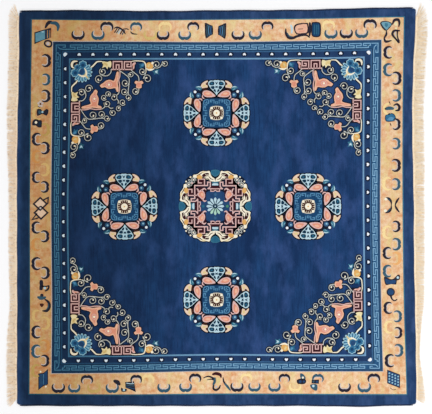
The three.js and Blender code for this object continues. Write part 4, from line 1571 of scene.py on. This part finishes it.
        # Teal half discs at the rim, an ice bar towards the frame
        patch("ice", quarter, mirrored([(0, 20.7), (3.0, 20.7), (3.1, 22.3), (1.6, 22.9), (0, 23.0)]), 4, 1)
        patch("edgeTeal", quarter, mirrored([(0, 23.1), (3.4, 23.1), (3.0, 24.4), (0, 25.4)]), 2, 1)
        patch("edgeTeal", quarter, mirrored([(0, 29.4), (2.6, 30.6), (4.4, 32.6), (4.6, 35.0), (2.4, 36.2), (0, 36.4)]), 3.2, 2)
        patch("teal", quarter, mirrored([(0, 30.2), (2.2, 31.4), (3.8, 33.0), (3.8, 34.8), (2.0, 35.6), (0, 35.8)]), 3.6, 2)
        stroke("pink", quarter, [(-7.4, 17.5), (0, 17.3), (7.4, 17.5)], 1.1, 4, 1)
        stroke("pink", quarter, [(-4.4, 17.2), (-4.4, 14.9), (-1.6, 14.9), (0, 16.0), (1.6, 14.9), (4.2, 14.9), (4.2, 17.2)], 0.95, 4, 1)
        patch("maroon", quarter, [(-4.5, 14.8), (4.5, 14.8), (4.5, 20.0), (-4.5, 20.0)], 3, 1)


drawing["part"] = "medallion"
centreMedallion(-1.2, 1.3)
for x, y, turn in ((0.1, 94.1, 0.0), (-91.6, 0.9, 0.02), (91.3, 1.1, 0.0), (0.1, -91.8, 0.0)):
    sideMedallion(x, y, turn)
print("rug: medallions drawn")

# Floral sprays that fill the corners of the field, in squares from the field's own corner

def scroll(place, centre, radius, start, hand=1):
    # A curl that winds in to its own pale eye, on black
    curl = []
    for i in range(19):
        t = i / 18
        r = radius * (1 - 0.10 * t - 0.72 * max(0.0, (t - 0.5) / 0.5) ** 1.25)
        a = start + hand * 2 * pi * 1.2 * t
        curl.append((centre[0] + r * cos(a), centre[1] + r * sin(a)))
    disc("nearBlack", place, centre, radius * 1.12, 1.5, 14)
    stroke("vine", place, curl, (0.8, *([0.64] * 17), 0.8), 3, 1, grooveShadeOn="nearBlack")
    stroke("cream", place, curl[-4:], (0.5, 0.9, 1.3, 1.4), 4, 1)


def leaf(dye, place, points, level=3, core=None):
    # Painted shade: every leaf gets a near-black rim for the shadow in its carved groove
    patch(dye, place, points, level, 2, "nearBlack")
    if core:
        patch(core[0], place, core[1], level + 1, 2)


def halfSpray(place):
    # Key bracket in pink on maroon, against the border
    patch("maroon", place, [(42.0, 0.6), (65.0, 0.6), (65.4, 10.2), (42.4, 10.4)], 2, 1, "nearBlack")
    stroke("pink", place, [(44.0, 8.8), (44.0, 1.4), (52.8, 1.4), (52.8, 9.2), (42.6, 9.2)], 1.2, 3, 1)
    stroke("pink", place, [(47.0, 9.2), (47.0, 4.6), (49.8, 4.6), (49.8, 9.2)], 1.2, 3, 1)
    stroke("pink", place, [(53.0, 9.3), (63.2, 9.3), (63.2, 5.8)], 1.2, 3, 1)
    stroke("pink", place, [
        (55.2, 9.2), (55.2, 1.6), (61.8, 1.6), (61.8, 6.6), (57.8, 6.6), (57.8, 4.2), (59.6, 4.2),
    ], 1.2, 3, 1)
    leaf("pink", place, [
        (62.4, 8.4), (62.8, 4.6), (64.8, 2.2), (66.8, 2.8), (65.4, 5.0), (65.2, 8.0), (63.6, 9.6),
    ], 3, ("salmon", [(63.4, 7.2), (64.0, 4.8), (65.4, 3.4), (64.6, 6.8)]))
    # Trefoil between the peony and the bracket, and its stem; the near-black patch under the trefoil is painted shadow
    patch("nearBlack", place, [
        (33.6, 6.0), (37.0, 7.0), (41.6, 6.4), (42.8, 10.6), (40.4, 9.4), (38.6, 11.8), (36.8, 9.6), (34.4, 10.6),
    ], 1.2, 1)
    leaf("straw", place, [
        (32.6, 1.6), (35.0, 1.2), (38.2, 1.8), (41.4, 0.8), (42.2, 4.2), (41.0, 7.6), (39.0, 6.2), (38.2, 9.0),
        (36.0, 6.4), (32.8, 7.8), (34.0, 4.6),
    ], 3, ("yellow", [(33.8, 2.2), (37.4, 2.4), (38.8, 4.6), (37.6, 6.8), (35.8, 5.2), (34.4, 5.8)]))
    stroke("olive", place, [(34.6, 3.4), (36.6, 3.8), (37.4, 5.4)], (0.5, 0.9, 0.5), 5)
    stem = [(21.6, 6.8), (23.4, 5.8), (26.6, 2.4), (28.6, 1.3), (32.8, 1.2)]
    stroke("cream", place, stem, (1.0, 1.4, 1.3, 1.1, 0.8), 3, 2, grooveShadeOn="nearBlack")
    # Vine along the border to the gold bud and the tip of the spray
    stroke("cream", place, [
        (62.4, 1.4), (66.0, 0.8), (70.4, 0.9), (74.4, 1.5), (76.2, 3.8), (76.8, 8.0), (76.9, 12.4),
    ], (0.8, 0.9, 0.9, 1.0, 1.2, 0.9, 0.7), 3, grooveShadeOn="nearBlack")
    patch("teal", place, [
        (70.4, 8.4), (70.8, 5.6), (69.4, 4.2), (72.0, 3.6), (74.0, 2.4), (75.4, 3.6), (75.0, 6.2), (73.4, 7.2),
    ], 2, 2)
    patch("hookBlue", place, [(71.8, 5.2), (73.8, 3.4), (74.8, 4.2), (74.2, 6.0), (72.6, 6.4)], 3, 2)
    leaf("gold", place, [
        (77.0, 4.0), (78.8, 2.5), (81.4, 2.5), (83.6, 4.4), (84.0, 7.0), (82.4, 8.8), (79.4, 9.2), (77.3, 7.2),
    ], 4, ("yellow", [(78.4, 6.2), (79.4, 4.0), (81.0, 3.6), (80.6, 6.0), (79.6, 7.4)]))
    stroke("cream", place, [(77.6, 8.6), (79.8, 9.8), (82.6, 9.6), (85.2, 8.6)], (0.8, 1.6, 1.6, 0.7), 6)
    disc("cream", place, (83.4, 3.0), 1.3, 6, 8)
    scroll(place, (87.2, 4.6), 3.4, pi * 0.5, 1)
    stroke("vine", place, [(87.4, 8.2), (91.0, 6.8), (93.0, 3.6), (94.0, 1.6)], 0.8, 3, grooveShadeOn="nearBlack")
    scroll(place, (95.8, 3.4), 2.8, pi * 1.2, -1)
    patch("edgeTeal", place, [
        (82.6, 10.6), (85.0, 10.8), (87.4, 9.2), (90.2, 9.6), (89.0, 11.8), (90.0, 14.6), (87.4, 13.4),
        (85.2, 14.8), (84.8, 12.6),
    ], 2, 2)
    patch("ice", place, [(86.0, 11.2), (88.8, 10.2), (88.2, 12.0), (88.8, 13.4), (86.6, 12.6)], 3, 2)
    # Double scroll under the bud
    stroke("vine", place, [(76.9, 12.0), (75.8, 15.0), (75.0, 18.2)], 0.8, 3, grooveShadeOn="nearBlack")
    scroll(place, (73.4, 11.4), 3.1, 0.3, 1)
    scroll(place, (78.0, 18.4), 3.7, pi, 1)
    # Long stem to the bud that hangs in the field
    stroke("vine", place, [(62.0, 10.0), (64.6, 12.2), (68.8, 15.6), (69.8, 18.6), (69.8, 21.0)], 0.8, 3, grooveShadeOn="nearBlack")
    leaf("salmonPale", place, [(65.4, 22.8), (66.8, 20.6), (69.8, 21.4), (72.8, 20.6), (74.4, 22.8), (72.4, 24.2), (72.6, 27.2), (69.8, 28.4), (67.0, 27.2), (67.4, 24.2)], 3,
         ("salmon", [(67.8, 22.6), (71.8, 22.6), (71.4, 26.4), (69.8, 27.2), (68.2, 26.4)]))
    stroke("vine", place, [(69.8, 28.4), (69.6, 31.0), (68.4, 33.0)], 0.8, 3, grooveShadeOn="nearBlack")
    scroll(place, (66.6, 31.0), 3.1, 0.2, 1)
    # Branching vine with scrolls on both sides
    stroke("vine", place, [(50.0, 10.2), (55.0, 13.6), (59.6, 17.6), (60.0, 23.0), (59.2, 29.6), (59.4, 34.0)], 0.8, 3, grooveShadeOn="nearBlack")
    scroll(place, (61.6, 14.2), 2.5, pi * 1.1, -1)
    scroll(place, (56.2, 22.8), 3.3, 0.1, 1)
    scroll(place, (55.4, 31.4), 3.1, 0.1, 1)
    scroll(place, (59.3, 37.2), 2.8, pi * 0.5, -1)
    # Salmon spray: a body with its eye, two arms and a tail
    leaf("salmonPale", place, [(30.6, 25.0), (34.0, 22.6), (37.0, 20.2), (41.0, 19.4), (44.6, 20.6), (46.4, 16.0), (47.4, 12.0), (49.4, 11.6), (49.6, 16.6),
                         (48.6, 22.0), (49.2, 27.0), (49.4, 31.4), (47.4, 31.0), (46.2, 27.8), (43.0, 28.2), (39.0, 28.4), (35.6, 26.6), (32.6, 27.4)], 3,
         ("salmon", [(32.4, 25.2), (35.6, 23.2), (38.4, 21.2), (41.4, 20.6), (44.4, 21.8), (46.2, 20.4), (47.6, 14.6), (48.2, 16.4), (47.2, 22.4), (47.8, 27.2), (45.6, 26.6), (42.6, 27.2), (39.2, 27.4), (36.2, 25.6)]))
    stroke("pink", place, [(36.8, 24.0), (38.8, 22.4), (41.6, 22.6), (42.6, 24.4), (41.0, 26.2), (38.4, 26.0)], 0.8, 5, 3, True)
    disc("cream", place, (39.8, 24.3), 1.2, 5, 10)
    stroke("pink", place, [(50.8, 10.6), (50.6, 16.0), (49.6, 20.0), (50.4, 25.0), (50.2, 31.0)], 1.0, 3, grooveShadeOn="nearBlack")
    stroke("vine", place, [(50.2, 31.4), (48.0, 34.6), (44.8, 33.8)], 0.8, 3, grooveShadeOn="nearBlack")
    scroll(place, (44.9, 36.8), 3.0, pi * 1.4, 1)
    scroll(place, (38.9, 33.8), 2.6, pi * 0.3, -1)
    stroke("vine", place, [(47.6, 38.4), (49.4, 40.6), (49.0, 43.0)], 0.8, 3, grooveShadeOn="nearBlack")
    # Scrolls between the peony and the salmon spray
    stroke("vine", place, [(42.0, 8.8), (41.4, 12.6), (38.0, 15.4), (33.6, 15.2), (30.6, 13.4)], 0.8, 3, grooveShadeOn="nearBlack")
    scroll(place, (33.2, 11.2), 3.1, pi * 1.3, -1)
    scroll(place, (29.6, 18.6), 3.5, pi * 0.5, 1)


def lobed(centre, radius, lobes, steps=5):
    # A round petal with a lobed rim
    ring = []
    for i in range(lobes * steps):
        a = 2 * pi * i / (lobes * steps)
        r = radius * (0.88 + 0.17 * abs(sin(lobes * a / 2)))
        ring.append((centre[0] + r * cos(a), centre[1] + r * sin(a)))
    return ring


def peony(flower):
    disc("nearBlack", flower, (0, 0), 10.8, 1, 32)
    disc("petalBlue", flower, (0.8, 0.8), 7.4, 2, 24)
    # Narrow petals with pale tips towards the field
    for i in range(9):
        ray = inside(flower, turn=pi / 4 + (i - 4) * 0.37)
        level = 3 + 0.3 * (i % 2)
        patch("petalRim", ray, [(4.4, -0.9), (8.2, -1.45), (10.2, -0.95), (10.7, 0), (10.2, 0.95), (8.2, 1.45), (4.4, 0.9)], level, 2)
        stroke("petalBlue", ray, [(4.6, 0), (8.8, 0)], (1.0, 1.5), level + 0.6, 1)
        stroke("ice", ray, [(9.9, -0.7), (9.9, 0.7)], 0.6, level + 0.8, 1)
    # Three full ones towards the border
    for x, y, radius in ((-4.6, -4.6, 3.0), (-6.9, 1.0, 4.3), (1.0, -6.9, 4.3)):
        patch("petalRim", flower, lobed((x, y), radius, 7), 3.6, 1)
        patch("petalBlue", flower, lobed((x, y), radius * 0.80, 7), 4.2, 1)
        disc("squareTeal", flower, (x * 0.94, y * 0.94), radius * 0.42, 4.6, 12)
    disc("petalBlue", flower, (-0.4, -0.4), 4.6, 4.8, 18)
    disc("royal", flower, (-0.4, -0.4), 2.9, 5.2, 16)
    # Its heart opens towards the corner
    stroke("cream", flower, [(-3.4, 2.6), (0.2, 4.4), (3.6, 3.6), (4.4, 0.2), (2.6, -3.4)], (0.8, 1.8, 2.5, 1.8, 0.8), 6)
    stroke("yellow", flower, [(1.0, 3.6), (3.2, 3.2), (3.6, 1.0)], (0.5, 1.2, 0.5), 7)
    stroke("yellow", flower, [(4.2, 4.2), (5.6, 5.4), (6.6, 6.4)], (1.4, 1.4, 0.7), 7)
    stroke("petalRim", flower, [(-3.2, -0.8), (-2.0, -2.4), (0.2, -3.0)], (0.6, 1.0, 0.6), 6)


def spray(place, creep):
    for side, (along, out) in zip((place, swapped(place)), creep):
        halfSpray(inside(side, along, out))
    # Peony in the corner with its curled leaf
    peony(inside(place, 11.8, 11.4))
    stroke("cream", place, [(1.3, 6.6), (1.5, 3.4), (3.4, 1.5), (6.4, 1.5), (8.0, 3.2)], (1.0, 1.9, 2.2, 1.9, 0.9), 3, grooveShadeOn="nearBlack")
    stroke("nearBlack", place, [(3.0, 6.4), (4.2, 4.4), (6.8, 3.9)], (1.2, 2.0, 1.2), 2.5)
    stroke("gold", place, [(3.9, 6.4), (4.8, 5.4)], (0.6, 0.9), 3)
    scroll(place, (52.6, 42.6), 2.9, pi * 1.2, 1)
    scroll(place, (42.6, 52.6), 2.9, pi * 0.3, -1)
    scroll(place, (48.6, 48.6), 2.5, pi * 0.75, 1)


drawing["part"] = "spray"
fieldEdge = 1.0065 / rug["square"]
# Each half has crept along and away from its border by its own amount, in squares
for turn, creep in (
    (-pi / 2, ((-1.1, -0.1), (-1.1, 0.5))), (pi, ((-0.6, -0.1), (-2.2, 0.5))),
    (pi / 2, ((0.1, 0.8), (-1.0, 1.0))), (0.0, ((-1.2, -0.2), (-1.4, 0.2))),
):
    spray(inside(motifAt(0, 0, turn), -fieldEdge, -fieldEdge), creep)
print("rug: corner sprays drawn")

# Every chart of pile becomes one piece for each dye

for (part, dye), (points, faces) in charted.items():
    material = cottonOf[part[4:]] if dye == "cotton" else pile(dye)
    piece = solidFrom(part + "_" + dye, points, faces, [material])
    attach(piece, "root")

# Floor, light and camera

view = {
    "height": 6.3,
    "width": 2.9454,
    "aim": (-0.0085, 0.0004),
    "sky": 0.93,
    "lamp": 76.0,
    "floor": (0.92, 0.92, 0.93),
    "floorReach": 7.0,
    "floorHole": 1.32,      # under the rug, so that its back is lit when it is seen from below
}
paper = bpy.data.materials.new("paper")
paper.use_nodes = True
paper.node_tree.nodes["Principled BSDF"].inputs["Base Color"].default_value = (*view["floor"], 1)
paper.node_tree.nodes["Principled BSDF"].inputs["Roughness"].default_value = 0.9
rim = [
    (x * reach, y * reach, 0.0)
    for reach in (view["floorReach"], view["floorHole"]) for x, y in ((-1, -1), (1, -1), (1, 1), (-1, 1))
]
floor = solidFrom("floor", rim, [(i, (i + 1) % 4, (i + 1) % 4 + 4, i + 4) for i in range(4)], [paper])

scene = bpy.context.scene
scene.view_settings.view_transform = "Standard"
scene.world = bpy.data.worlds.new("studio")
scene.world.use_nodes = True
sky = scene.world.node_tree.nodes["Background"]
sky.inputs["Color"].default_value = (1.0, 1.0, 1.0, 1)
sky.inputs["Strength"].default_value = view["sky"]

lamp = bpy.data.lights.new("softbox", "AREA")
lamp.shape = "RECTANGLE"
lamp.size = 3.2
lamp.size_y = 3.2
lamp.energy = view["lamp"]
lampObject = bpy.data.objects.new("softbox", lamp)
lampObject.location = (3.0, -2.0, 4.2)
lampObject.rotation_euler = (0.42, 0.60, 0.0)
scene.collection.objects.link(lampObject)

lens = bpy.data.cameras.new("camera")
lens.sensor_width = 36
lens.lens = 36 * (view["height"] - rug["pileTop"]) / view["width"]
camera = bpy.data.objects.new("camera", lens)
camera.location = (*view["aim"], view["height"])
scene.collection.objects.link(camera)
scene.camera = camera
